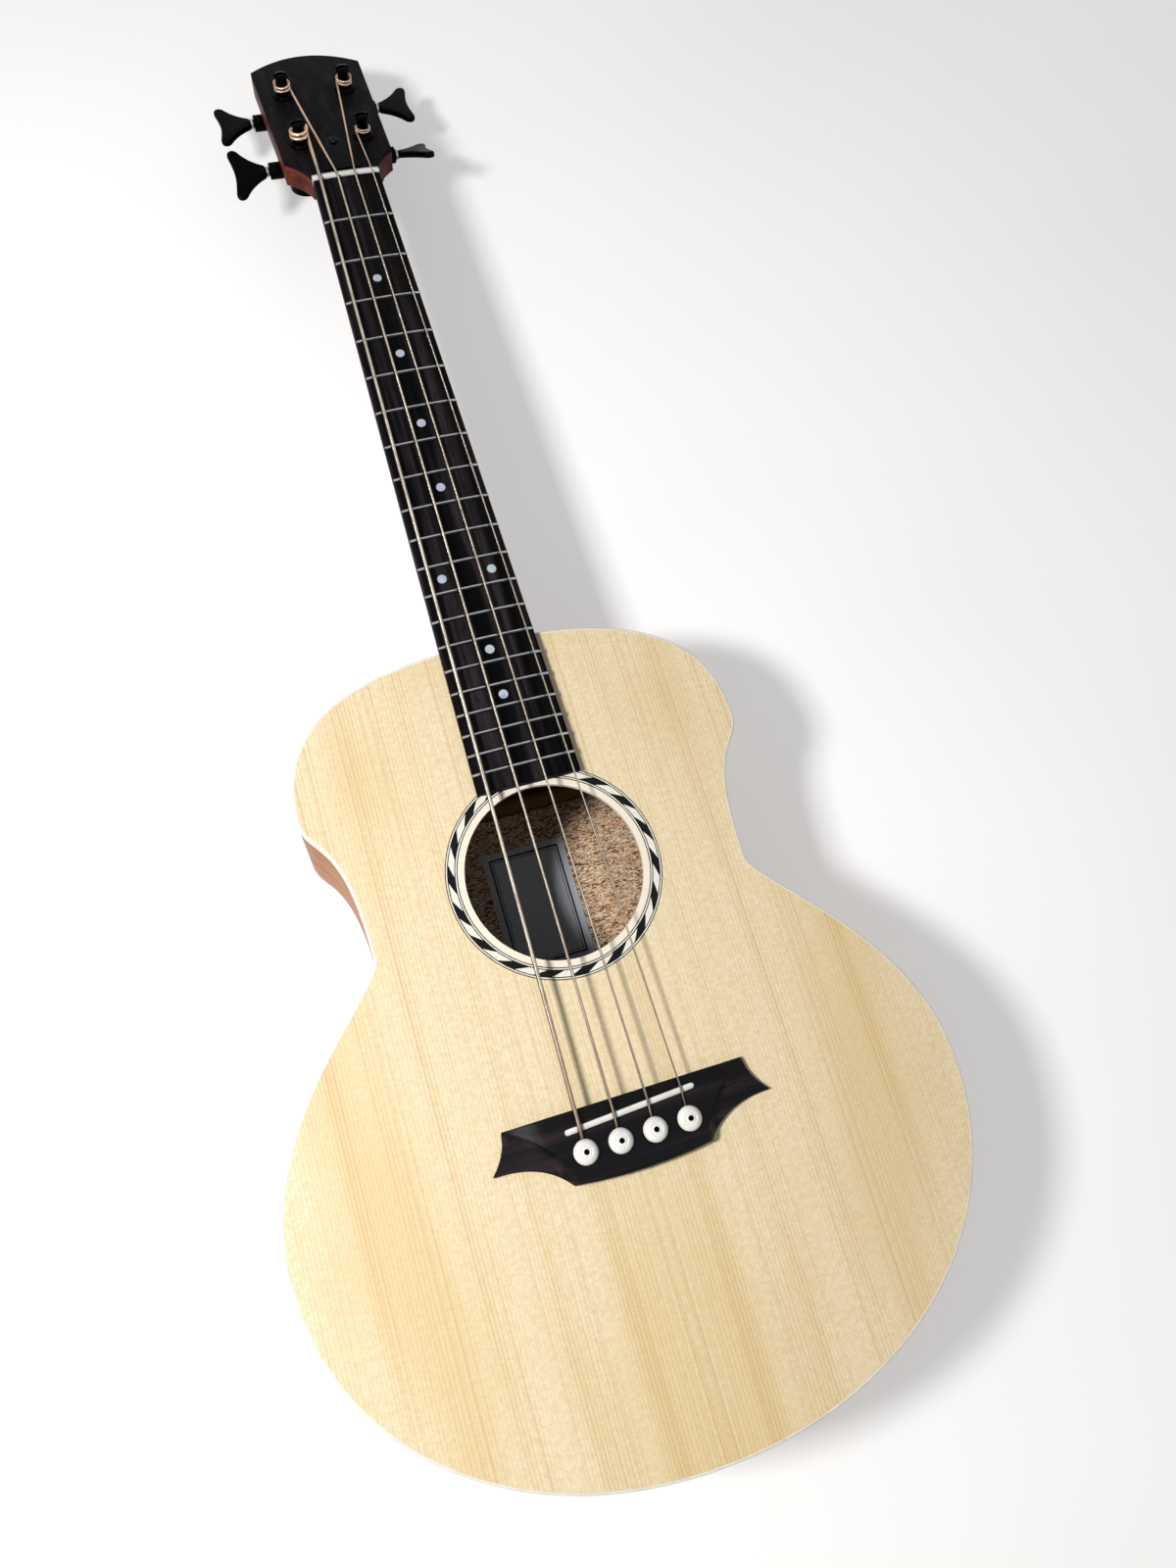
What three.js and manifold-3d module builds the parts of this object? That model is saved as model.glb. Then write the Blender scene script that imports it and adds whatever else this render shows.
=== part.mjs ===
// A short-scale acoustic bass guitar with four strings, lying on its back.
// Millimetres. +Y runs along the neck to the head, +X is the side of the thinnest string, +Z is up.
// The origin is on the outer face of the flat back, straight under the middle of the saddle.
import * as THREE from "three";
import { mergeVertices, toCreasedNormals } from "three/addons/utils/BufferGeometryUtils.js";
import Module from "manifold-3d";

const wasm = await Module();
wasm.setup();

// Clearances
const glueLine = 0.15;
const runningFit = 0.2;
const cutOverrun = 5;

// String scale and fretboard
const scaleLength = 597;
const notesPerOctave = 12;
const fretCount = 20;
const clearFretCount = 14;
const nutWidth = 42.8;
const fretboardEndWidth = 59.6;
const fretboardThickness = 6.1;
const fretboardPastLastFret = 11;
const fretboardRadius = 400;
const fretHeight = 1.1;
const fretWidth = 2.7;
const fretCrownShare = 0.5;
const fretboardFacets = 3;

// Nut and string spacing
const nutThickness = 5;
const nutStringSpacing = 11.3;
const nutStringHeight = 7.6;
const nutBackDrop = 2.2;
const nutCrownLength = 1.6;
const nutFacets = 6;
const saddleStringSpacing = 18.75;
const stringEndRadius = 3;
const stringEndLength = 5;
const pinBendLength = 2.6;
const saddleBendLength = 1.2;
const nutBendLength = 1;
const bendSteps = 2;
const pinBendSteps = 3;
const stringEndShoulder = 0.07;
const windingGap = 0.6;
const windingSteps = 24;
const windingSides = 6;

const stringDiameterE = 2.29;
const stringDiameterA = 1.57;
const stringDiameterD = 1.27;
const stringDiameterG = 0.94;

// Each string's side of the head, its row of posts from the nut, its turns on the post, and the degrees
// that the far lobe of its key stands up
const strings = [
  { name: "e", diameter: stringDiameterE, side: -1, row: 0, turns: 2, keyLift: 23 },
  { name: "a", diameter: stringDiameterA, side: -1, row: 1, turns: 2.5, keyLift: 6 },
  { name: "d", diameter: stringDiameterD, side: 1, row: 1, turns: 2.5, keyLift: 4 },
  { name: "g", diameter: stringDiameterG, side: 1, row: 0, turns: 2, keyLift: -22 },
];

// Body
const bodyLength = 445;
const upperBoutWidth = 254.6;
const waistWidth = 211.8;
const lowerBoutWidth = 365.8;
const depthAtTail = 112;
const depthAtNeck = 96;
const soundboardThickness = 2.8;
const backThickness = 2.6;
const sideThickness = 2.4;
const bindingWidth = 2.4;
const bindingHeight = 6;
const liningWidth = 6.5;
const liningHeight = 14;
const liningToeHeight = 4;
const outlineChordLength = 24;

// Where the bouts are widest and the waist narrowest, as shares of the body's length from its neck end
const boutStationShares = { upper: 0.171, waist: 0.36, lower: 0.664 };
// How far each curve's two handles reach, as shares of the stretch that they steer
const outlineHandleShares = [
  [0.666, 0.7],
  [0.267, 0.881],
  [0.12, 0.534],
  [0.578, 0.585],
];

// Sound hole and its inlaid ring
const holeRadius = 49.3;
const holeBelowFretboard = 1.7;
const rosetteInnerRadius = 53;
const rosetteOuterRadius = 59.9;
const rosetteDepth = 1.2;
const holeSides = 40;

// Blocks and label
const neckBlockWidth = 78;
const neckBlockLength = 45;
const tailBlockWidth = 62;
const tailBlockLength = 18;
const labelWidth = 53;
const labelHeight = 78;
const labelThickness = 0.3;

// Braces
const braceWidth = 8;
const braceHeight = 15;
const braceEndHeight = 3;
const braceShoulderShare = 0.6;
const braceTaperShare = 0.22;
const lapNotchLength = 64;
const crossHalfAngle = THREE.MathUtils.degToRad(52);
const crossPlaceShare = 0.65;
const transverseWidth = 12;
const transverseHeight = 17;
const toneBarWidth = 6.5;
const toneBarHeight = 10;
const toneBarSlopeShare = 0.64;
const toneBarPlaceShares = [0.33, 0.62];
const backBraceWidth = 14;
const backBraceHeight = 13;
const backBraceBelowLabel = 25;
const lowerBackBraceShares = [0.465, 0.815];
const bridgePlateThickness = 2.5;
const bridgePlateMargin = 2;
const bridgePlateTipMargin = 0.5;

// Bridge, saddle and pins
const bridgeFrontSpan = 132;
const bridgeTipReach = 9.5;
const bridgeBackSpan = 75;
const bridgeFrontY = 2.3;
const bridgeTipY = -17.5;
const bridgeBackY = -33.4;
const bridgeBackBulge = 2.6;
const bridgeThickness = 8.5;
const bridgeFrontCornerThickness = 3.8;
const bridgeWingThickness = 3;
const bridgeTipThickness = 2.4;
const bridgeFlatSpan = 88;
const bridgeRound = 2.2;
const bridgeTipWidth = 0.7;
const bridgeWingSteps = 5;
const bridgeTipSteps = 2;
const saddleLength = 71.5;
const saddleThickness = 3;
const saddleY = -5.8;
const saddleSlant = THREE.MathUtils.degToRad(3.05);
const saddleHeight = 11.4;
const saddleSlotFloor = 2.6;
const saddleCrown = 1.2;
const saddleFacets = 6;
const saddleEndSteps = 4;
const saddlePeakShare = 1 / 3;
const pinY = -19.2;
const pinHeadRadius = 6.5;
const pinHeadHeight = 4.3;
const pinHeadLift = 0.5;
const pinRadius = 3.4;
const pinTipRadius = 2.9;
const pinReach = 16;
const pinSides = 10;

// How far the bridge's end, its back edge and the ridge of its wing bulge outwards, as shares of their spans
const bridgeBulgeShares = { end: 0.1, back: 0.33, ridge: 0.2 };
// The bridge's front edge is rounded over the first two shares, its shoulder follows the others
const bridgeSectionShares = {
  edgeDrop: 0.12,
  edgeLength: 0.1,
  tipTop: 0.2,
  shoulderDrop: 1 / 3,
  shoulderRise: 0.15,
  shoulderOnFlat: 0.6,
  shoulderOnWing: 0.4,
};
// The saddle's crown, as shares of half its thickness forwards and of the crown's height downwards
const saddleCrownShares = [
  [1, 0.5],
  [saddlePeakShare, 0],
  [-saddlePeakShare, 1 / 3],
  [-1, 1],
];
// A pin's head from its rim up, as shares of its radius and height
const pinHeadShares = [
  [0.8, 0],
  [1, 0.3],
  [0.86, 0.75],
  [0.45, 1],
  [0, 1],
];

// Neck
const neckDepthAtNut = 16;
const neckDepthAtHeel = 18.5;
const heelCapDepth = 86;
const heelCapLength = 18;
const heelCurveLength = 40;
const heelTaper = 0.55;
const shaftRoundness = 0.82;
const heelRoundness = 0.55;
const neckSectionSteps = 10;
const heelCurveShares = [0, 0.4, 0.65, 0.83, 0.94, 1];
const tenonHalfWidth = 13;
const tenonFlare = 4;
const tenonLength = 18;
const tenonDepth = 70;

// Head
const headAngle = THREE.MathUtils.degToRad(14);
const headThickness = 13;
const headLength = 140;
const headArch = 14;
const headTopWidth = 75;
const headShoulderWidth = 71;
const headShoulderY = 20;
const veneerThickness = 3;
const headRunLength = 22;
const headRunInset = 2.4;
const headRunCover = 1;
const headWaistShares = { across: 0.22, along: 0.6 };
const headCurveSteps = 6;

// Truss rod and its cover
const rodWidth = 6;
const rodHeight = 9;
const rodStartPastBody = 10;
const rodThreadRadius = 2.6;
const rodNutRadius = 3.9;
const rodNutLength = 14;
const rodNutDrop = 4.9;
const rodNutSides = 6;
const pocketWidth = 12;
const pocketStart = 2.5;
const pocketLength = 27;
const pocketDepth = 9.5;
const coverWidth = 23;
const coverTipWidth = 14;
const coverLength = 37;
const coverStart = 1.5;
const coverThickness = 2;
const coverWaistShare = 0.3;
const screwY = 32;
const screwHeadRadius = 2.7;
const screwHeadHeight = 1.5;
const screwRadius = 1.3;
const screwLength = 9;
const screwSlotWidth = 0.8;
const screwSlotShare = 0.6;
const screwSides = 10;
// The screw's head from its seat up, as shares of its radius and height
const screwHeadShares = [
  [1, 0],
  [0.9, 0.6],
  [0.5, 1],
  [0, 1],
];

// Tuners: each has a worm on its key's shaft and a wheel on its post
const postX = 20.9;
const postRows = [37, 94];
const gearModule = 1;
const dedendumShare = 1.25;
const wheelTeeth = 16;
const wheelWidth = 5;
const wormPitchRadius = 4;
const wormTurns = 2;
const wormSteps = 8;
const pressureAngle = THREE.MathUtils.degToRad(20);
const gearClearance = 0.15;
const postRadius = 3.9;
const windingRadius = 3.7;
const postFlangeRadius = 4.7;
const postFlangeThickness = 1.7;
const postDomeHeight = 0.8;
const postHeight = 14.6;
const postSlotWidth = 2.7;
const postSlotDepth = 2.9;
const postBoreRadius = 1.5;
const postBoreDepth = 6;
const postBoreSides = 8;
const journalRadius = 2;
const journalLength = 2.2;
const housingWall = 1.6;
const housingCornerRadius = 3;
const barrelRadius = 5.25;
const barrelPastHead = 5.5;
const keyShaftRadius = 2.5;
const keyRingRadius = 3.1;
const keyRingLength = 1.7;
const keyLength = 22.5;
const keySpan = 35;
const keyThickness = 4;
const keyBevel = 0.9;
const bushingFlangeRadius = 7.1;
const bushingFlangeThickness = 2.4;
const bushingRimShare = 0.86;
const bushingSleeveRadius = 5;
const bushingSleeveLength = 11;
const turnedSides = 12;
const shaftSides = 10;
const tunerCurveSteps = 3;

// Half of the leaf-shaped key, as shares of its length outwards and of its half span across
const keyHubShare = 0.22;
const keyLobeShares = [
  [0.444, 0.446, 0.7, 0.91],
  [0.76, 1, 0.86, 1.04, 0.94, 0.98],
  [1.01, 0.93, 1.02, 0.82, 1, 0.72],
  [0.96, 0.5, 0.92, 0.25, 0.92, 0],
];

// Strap button
const buttonShankRadius = 4.6;
const buttonReach = 20;
const buttonFlangeRadius = 7.5;
const buttonLength = 13;
const buttonSides = 12;
// The button from its seat outwards, as shares of its flange's radius and of its length
const buttonShares = [
  [1, 0],
  [1, 0.18],
  [0.53, 0.33],
  [0.53, 0.6],
  [0.95, 0.8],
  [0.5, 1],
  [0, 1],
];

// Places that follow from the sizes above
const taperAngle = Math.atan((depthAtTail - depthAtNeck) / bodyLength);
const fretY = (fret) => scaleLength * 2 ** (-fret / notesPerOctave);
const bodyNeckY = fretY(clearFretCount);
const bodyTailY = bodyNeckY - bodyLength;
const fretboardEndY = fretY(fretCount) - fretboardPastLastFret;
const holeY = fretboardEndY - holeBelowFretboard - holeRadius;
const nutFrontY = scaleLength + nutThickness;
const crossY = THREE.MathUtils.lerp(bridgeFrontY, holeY - holeRadius, crossPlaceShare);
const bridgeTipSpan = bridgeFrontSpan + 2 * bridgeTipReach;
const bridgePlateWidth = bridgeTipSpan - 2 * bridgePlateTipMargin;
const bridgePlateFrontY = bridgeFrontY - bridgePlateMargin;
const bridgePlateBackY = bridgeBackY + bridgePlateMargin;
const liningInset = Math.max(sideThickness, bindingWidth) + glueLine;
const insideInset = liningInset + liningWidth + glueLine;
const stringMiddle = (strings.length - 1) / 2;
const wheelPitchRadius = (wheelTeeth * gearModule) / 2;
const gearDistance = wheelPitchRadius + wormPitchRadius;
const toothPitch = Math.PI * gearModule;
const wormOuterRadius = wormPitchRadius + gearModule;
const toothRootDepth = dedendumShare * gearModule;
const wormRootRadius = wormPitchRadius - toothRootDepth;
const wormPocketRadius = wormOuterRadius + 2 * runningFit;
const housingTop = -headThickness - glueLine;
const wormDrop = housingTop - housingWall - wormPocketRadius;
const housingBottom = wormDrop - wormPocketRadius - housingWall;
const barrelEnd = Math.max(headTopWidth, headShoulderWidth) / 2 - postX + barrelPastHead;

const level = (height) => () => height;
const backAt = (y) => -(depthAtTail - (y - bodyTailY) * Math.tan(taperAngle));
const backInsideAt = (y) => backAt(y) + backThickness + glueLine;
const soundboardInside = -soundboardThickness - glueLine;
const crownDrop = (x) => (x * x) / (2 * fretboardRadius);
const fretboardHalfWidth = (y) => {
  const share = (scaleLength - y) / (scaleLength - fretboardEndY);
  return THREE.MathUtils.lerp(nutWidth, fretboardEndWidth, share) / 2;
};

// Closed surfaces

const mergeDistance = 1e-4;

// Merges shared corners, drops slivers and turns the faces outwards.
function sealed(geometry) {
  const bare = new THREE.BufferGeometry();
  bare.setAttribute("position", geometry.getAttribute("position"));
  bare.setIndex(geometry.index);
  const merged = mergeVertices(bare, mergeDistance);
  const corner = (i) => new THREE.Vector3().fromBufferAttribute(merged.attributes.position, i);
  const faces = [];
  let volume = 0;
  for (let i = 0; i < merged.index.count; i += 3) {
    const [a, b, c] = merged.index.array.slice(i, i + 3);
    if (a === b || b === c || c === a) continue;
    faces.push([a, b, c]);
    volume += corner(a).dot(corner(b).cross(corner(c)));
  }
  const outward = volume < 0 ? faces.map(([a, b, c]) => [a, c, b]) : faces;
  merged.setIndex(outward.flat());
  return merged;
}

const toSolid = (geometry) =>
  new wasm.Manifold(
    new wasm.Mesh({
      numProp: 3,
      vertProperties: new Float32Array(geometry.attributes.position.array),
      triVerts: new Uint32Array(geometry.index.array),
    }),
  );

function toGeometry(solid) {
  const mesh = solid.getMesh();
  const geometry = new THREE.BufferGeometry();
  geometry.setAttribute("position", new THREE.BufferAttribute(mesh.vertProperties, mesh.numProp));
  geometry.setIndex(new THREE.BufferAttribute(mesh.triVerts, 1));
  return geometry;
}

const combine = (operation, first, others) =>
  toGeometry(others.reduce((solid, other) => solid[operation](toSolid(other)), toSolid(first)));
const cut = (geometry, ...cutters) => combine("subtract", geometry, cutters);
const join = (geometry, ...others) => combine("add", geometry, others);
const overlapOf = (geometry, ...others) => combine("intersect", geometry, others);

// Triangles across a flat row of points, in the row's own direction.
function capFaces(row) {
  const normal = new THREE.Vector3();
  row.forEach((point, i) => normal.add(point.clone().cross(row[(i + 1) % row.length])));
  const size = [Math.abs(normal.x), Math.abs(normal.y), Math.abs(normal.z)];
  const largest = size.indexOf(Math.max(...size));
  const flat = row.map((point) => {
    const values = point.toArray();
    values.splice(largest, 1);
    return new THREE.Vector2(...values);
  });
  const turn = Math.sign(THREE.ShapeUtils.area(flat));
  return THREE.ShapeUtils.triangulateShape(flat, []).map((face) => {
    const same = Math.sign(THREE.ShapeUtils.area(face.map((i) => flat[i]))) === turn;
    return same ? face : [face[0], face[2], face[1]];
  });
}

// Skins rows that all have the same number of points, and caps the two ends unless the rows form a ring.
function loft(rows, ring = false) {
  const count = rows[0].length;
  const faces = [];
  const bands = ring ? rows.length : rows.length - 1;
  for (let i = 0; i < bands; i += 1) {
    const here = i * count;
    const next = ((i + 1) % rows.length) * count;
    for (let j = 0; j < count; j += 1) {
      const after = (j + 1) % count;
      faces.push([here + j, next + j, next + after], [here + j, next + after, here + after]);
    }
  }
  if (!ring) {
    const last = (rows.length - 1) * count;
    capFaces(rows[0]).forEach((face) => faces.push(face));
    capFaces(rows.at(-1)).forEach(([a, b, c]) => faces.push([last + a, last + c, last + b]));
  }
  const geometry = new THREE.BufferGeometry().setFromPoints(rows.flat());
  geometry.setIndex(faces.flat());
  return sealed(geometry);
}

// A prism over a flat outline, between two surfaces whose height depends on y.
function prism(outline, bottomAt, topAt) {
  const raise = (heightAt) => outline.map(({ x, y }) => new THREE.Vector3(x, y, heightAt(y)));
  return loft([raise(bottomAt), raise(topAt)]);
}

const block = (low, high) => {
  const size = high.clone().sub(low);
  const middle = low.clone().add(high).multiplyScalar(0.5);
  return sealed(new THREE.BoxGeometry(...size.toArray()).translate(...middle.toArray()));
};

// A turned piece round the z axis, from [radius, height] pairs that start and end on the axis.
function turned(profile, sides = turnedSides) {
  const points = profile.map(([radius, height]) => new THREE.Vector2(radius, height));
  return sealed(new THREE.LatheGeometry(points, sides).rotateX(Math.PI / 2));
}

const roundBar = (radius, from, to, sides = turnedSides) =>
  turned([[0, from], [radius, from], [radius, to], [0, to]], sides);

// A round bar along a route, with its own radius at each point.
function tube(route, radii, sides) {
  const tangents = route.map((point, i) => {
    const before = route[Math.max(i - 1, 0)];
    const after = route[Math.min(i + 1, route.length - 1)];
    return after.clone().sub(before).normalize();
  });
  const across = new THREE.Vector3(1, 0, 0);
  const rows = route.map((point, i) => {
    across.addScaledVector(tangents[i], -across.dot(tangents[i])).normalize();
    const up = tangents[i].clone().cross(across);
    return Array.from({ length: sides }, (_, k) => {
      const angle = (2 * Math.PI * (k + 0.5)) / sides;
      return point
        .clone()
        .addScaledVector(across, radii[i] * Math.cos(angle))
        .addScaledVector(up, radii[i] * Math.sin(angle));
    });
  });
  return loft(rows);
}

function extruded(shape, depth, options) {
  const settings = { depth, bevelEnabled: false, ...options };
  return sealed(new THREE.ExtrudeGeometry(shape, settings));
}

// Body outline

function outlineCurves() {
  const station = (halfWidth, share) => new THREE.Vector2(halfWidth, bodyNeckY - share * bodyLength);
  const neckEnd = station(0, 0);
  const upper = station(upperBoutWidth / 2, boutStationShares.upper);
  const middle = station(waistWidth / 2, boutStationShares.waist);
  const lower = station(lowerBoutWidth / 2, boutStationShares.lower);
  const tail = station(0, 1);
  const sideways = (point, other, share) =>
    new THREE.Vector2(point.x + share * (other.x - point.x), point.y);
  const lengthways = (point, other, share) =>
    new THREE.Vector2(point.x, point.y + share * (other.y - point.y));
  const [first, second, third, fourth] = outlineHandleShares;
  const curve = (start, startHandle, endHandle, end) =>
    new THREE.CubicBezierCurve(start, startHandle, endHandle, end);
  return [
    curve(neckEnd, sideways(neckEnd, upper, first[0]), lengthways(upper, neckEnd, first[1]), upper),
    curve(upper, lengthways(upper, middle, second[0]), lengthways(middle, upper, second[1]), middle),
    curve(middle, lengthways(middle, lower, third[0]), lengthways(lower, middle, third[1]), lower),
    curve(lower, lengthways(lower, tail, fourth[0]), sideways(tail, lower, fourth[1]), tail),
  ];
}

// The +X half from the neck end to the tail, moved in from the body's edge.
function halfOutline(inset) {
  const points = outlineCurves().flatMap((curve, i, curves) => {
    const steps = Math.round(curve.getLength() / outlineChordLength);
    const count = i === curves.length - 1 ? steps + 1 : steps;
    return Array.from({ length: count }, (_, k) => {
      const share = k / steps;
      const point = curve.getPoint(share);
      const tangent = curve.getTangent(share);
      return new THREE.Vector2(point.x + inset * tangent.y, point.y - inset * tangent.x);
    });
  });
  points[0].x = 0;
  points.at(-1).x = 0;
  return points;
}

function fullOutline(inset) {
  const half = halfOutline(inset);
  const mirrored = half.slice(1, -1).reverse().map(({ x, y }) => new THREE.Vector2(-x, y));
  return [...half, ...mirrored];
}

// How far a straight line runs from a point before it meets an outline.
function reach(from, direction, outline) {
  const crossings = outline.map((start, i) => {
    const edge = outline[(i + 1) % outline.length].clone().sub(start);
    const offset = start.clone().sub(from);
    const spread = direction.cross(edge);
    const along = offset.cross(edge) / spread;
    const share = offset.cross(direction) / spread;
    return along > 0 && share >= 0 && share <= 1 ? along : Infinity;
  });
  return Math.min(...crossings);
}

// Box of the body

function soundboard() {
  const plate = prism(fullOutline(bindingWidth + glueLine), level(-soundboardThickness), level(0));
  const hole = roundBar(holeRadius, -soundboardThickness - cutOverrun, cutOverrun, holeSides);
  const channel = turned(
    [
      [rosetteInnerRadius - glueLine, -rosetteDepth - glueLine],
      [rosetteOuterRadius + glueLine, -rosetteDepth - glueLine],
      [rosetteOuterRadius + glueLine, cutOverrun],
      [rosetteInnerRadius - glueLine, cutOverrun],
      [rosetteInnerRadius - glueLine, -rosetteDepth - glueLine],
    ],
    holeSides,
  );
  const holeCutters = [hole, channel].map((cutter) => cutter.translate(0, holeY, 0));
  return cut(plate, ...holeCutters, tenonSlot(), ...pinBores(), ...stringBores());
}

function rosette() {
  const profile = [
    [rosetteInnerRadius, -rosetteDepth],
    [rosetteOuterRadius, -rosetteDepth],
    [rosetteOuterRadius, 0],
    [rosetteInnerRadius, 0],
    [rosetteInnerRadius, -rosetteDepth],
  ];
  return turned(profile, holeSides);
}

const backPlate = () =>
  prism(fullOutline(bindingWidth + glueLine), backAt, (y) => backAt(y) + backThickness);

// A band along an outline, between an outer and an inner inset.
function band(outline, outerInset, innerInset, sectionAt, ring) {
  const outer = outline(outerInset);
  const inner = outline(innerInset);
  return loft(outer.map((point, i) => sectionAt(point, inner[i])), ring);
}

const upright = (bottomAt, topAt) => (outer, inner) => [
  new THREE.Vector3(outer.x, outer.y, topAt(outer.y)),
  new THREE.Vector3(inner.x, inner.y, topAt(inner.y)),
  new THREE.Vector3(inner.x, inner.y, bottomAt(inner.y)),
  new THREE.Vector3(outer.x, outer.y, bottomAt(outer.y)),
];

function topBinding() {
  const ring = band(fullOutline, 0, bindingWidth, upright(level(-bindingHeight), level(0)), true);
  return cut(ring, tenonSlot());
}

const backBinding = () =>
  band(fullOutline, 0, bindingWidth, upright(backAt, (y) => backAt(y) + bindingHeight), true);

// One bent side, with its seam on the centre line.
function bentSide() {
  const rim = bindingHeight + glueLine;
  const wall = upright((y) => backAt(y) + rim, level(-rim));
  const strip = band(halfOutline, 0, sideThickness, wall, false);
  const seam = block(
    new THREE.Vector3(-glueLine / 2, bodyTailY - cutOverrun, -depthAtTail - cutOverrun),
    new THREE.Vector3(glueLine / 2, bodyNeckY + cutOverrun, cutOverrun),
  );
  return cut(strip, seam, tenonSlot(), buttonBore());
}

// Blocks fill the body's inner width over a length at one end.
function endBlock(width, lowY, highY) {
  const space = prism(fullOutline(liningInset), backInsideAt, level(soundboardInside));
  const low = new THREE.Vector3(-width / 2, lowY, -depthAtTail);
  const high = new THREE.Vector3(width / 2, highY, cutOverrun);
  return overlapOf(space, block(low, high));
}

const neckBlock = (grow = 0) =>
  endBlock(neckBlockWidth + 2 * grow, bodyNeckY - neckBlockLength - grow, bodyNeckY);
const tailBlock = (grow = 0) =>
  endBlock(tailBlockWidth + 2 * grow, bodyTailY, bodyTailY + tailBlockLength + grow);

// A lining runs from block to block under a plate's edge, thick at the plate and thin at its toe.
function lining(plateAt, direction) {
  const section = (outer, inner) => [
    new THREE.Vector3(outer.x, outer.y, plateAt(outer.y)),
    new THREE.Vector3(inner.x, inner.y, plateAt(inner.y)),
    new THREE.Vector3(inner.x, inner.y, plateAt(inner.y) + direction * liningToeHeight),
    new THREE.Vector3(outer.x, outer.y, plateAt(outer.y) + direction * liningHeight),
  ];
  const strip = band(halfOutline, liningInset, liningInset + liningWidth, section, false);
  const endCutter = (width, lowY, highY) =>
    block(
      new THREE.Vector3(-width / 2 - glueLine, lowY, -depthAtTail - cutOverrun),
      new THREE.Vector3(width / 2 + glueLine, highY, cutOverrun),
    );
  return cut(
    strip,
    endCutter(neckBlockWidth, holeY, bodyNeckY + cutOverrun),
    endCutter(tailBlockWidth, bodyTailY - cutOverrun, crossY),
  );
}

const topLining = () => lining(level(soundboardInside), -1);
const backLining = () => lining(backInsideAt, 1);

function label() {
  const half = labelWidth / 2;
  const outline = [
    new THREE.Vector2(-half, holeY - labelHeight / 2),
    new THREE.Vector2(half, holeY - labelHeight / 2),
    new THREE.Vector2(half, holeY + labelHeight / 2),
    new THREE.Vector2(-half, holeY + labelHeight / 2),
  ];
  return prism(outline, backInsideAt, (y) => backInsideAt(y) + labelThickness);
}

// Braces

// A bar on a plate, from the middle to both ends of its reach, with its ends tapered down.
function brace({ middle, direction, width, height, baseAt, rise, space }) {
  const across = new THREE.Vector2(-direction.y, direction.x);
  const edges = [-1, 1].map((sign) => middle.clone().addScaledVector(across, (sign * width) / 2));
  const runs = [-1, 1].map((sign) => {
    const heading = direction.clone().multiplyScalar(sign);
    return sign * Math.min(...edges.map((edge) => reach(edge, heading, space)));
  });
  const taper = braceTaperShare * (runs[1] - runs[0]);
  const stations = [
    [runs[0], braceEndHeight],
    [runs[0] + taper, height],
    [runs[1] - taper, height],
    [runs[1], braceEndHeight],
  ];
  const rows = stations.map(([along, tall]) => {
    const centre = middle.clone().addScaledVector(direction, along);
    const section = [
      [-width / 2, 0],
      [-width / 2, tall * braceShoulderShare],
      [0, tall],
      [width / 2, tall * braceShoulderShare],
      [width / 2, 0],
    ];
    return section.map(([offset, up]) => {
      const point = centre.clone().addScaledVector(across, offset);
      return new THREE.Vector3(point.x, point.y, baseAt(point.y) + rise * up);
    });
  });
  return loft(rows);
}

const underSoundboard = { baseAt: level(soundboardInside), rise: -1 };
const onBack = { baseAt: backInsideAt, rise: 1 };
const insideLinings = fullOutline(insideInset);
const crossDirection = (sign) => new THREE.Vector2(sign * Math.sin(crossHalfAngle), Math.cos(crossHalfAngle));

// One bar of the X. The bars are half lapped where they cross.
function crossBrace(sign) {
  const bar = brace({
    middle: new THREE.Vector2(0, crossY),
    direction: crossDirection(sign),
    width: braceWidth,
    height: braceHeight,
    space: insideLinings,
    ...underSoundboard,
  });
  const lap = braceHeight / 2;
  const notchHalfWidth = braceWidth / 2 + glueLine;
  const low = sign < 0 ? -cutOverrun : lap - glueLine / 2;
  const high = sign < 0 ? lap + glueLine / 2 : braceHeight + cutOverrun;
  const notch = block(
    new THREE.Vector3(-notchHalfWidth, -lapNotchLength / 2, soundboardInside - high),
    new THREE.Vector3(notchHalfWidth, lapNotchLength / 2, soundboardInside - low),
  );
  notch.rotateZ(sign * crossHalfAngle).translate(0, crossY, 0);
  return cut(bar, notch);
}

// Where the underside of an X bar lies at a height up the body.
const crossEdgeX = (y) =>
  (crossY - y) * Math.tan(crossHalfAngle) - (braceWidth / 2 + glueLine) / Math.cos(crossHalfAngle);

// The tone bars lie between the bridge plate and the tail block. They rise towards the bass side.
const toneBarY = (placeShare) =>
  THREE.MathUtils.lerp(bridgePlateBackY, bodyTailY + tailBlockLength, placeShare);
const toneBarRise = toneBarSlopeShare * (bridgePlateBackY - toneBarY(toneBarPlaceShares[0]));

function toneBar(placeShare) {
  const lowY = bodyTailY - cutOverrun;
  const apexY = crossY - (braceWidth / 2 + glueLine) / Math.sin(crossHalfAngle);
  const wedge = [
    new THREE.Vector2(0, apexY),
    new THREE.Vector2(crossEdgeX(lowY), lowY),
    new THREE.Vector2(-crossEdgeX(lowY), lowY),
  ];
  const middle = new THREE.Vector2(0, toneBarY(placeShare));
  const direction = new THREE.Vector2(bridgePlateWidth / 2, -toneBarRise).normalize();
  const size = { width: toneBarWidth, height: toneBarHeight };
  const free = brace({ middle, direction, space: insideLinings, ...size, ...underSoundboard });
  return overlapOf(free, prism(wedge, level(-depthAtTail), level(0)));
}

const transverseBrace = () =>
  brace({
    middle: new THREE.Vector2(0, (holeY + holeRadius + bodyNeckY - neckBlockLength) / 2),
    direction: new THREE.Vector2(1, 0),
    width: transverseWidth,
    height: transverseHeight,
    space: insideLinings,
    ...underSoundboard,
  });

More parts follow.
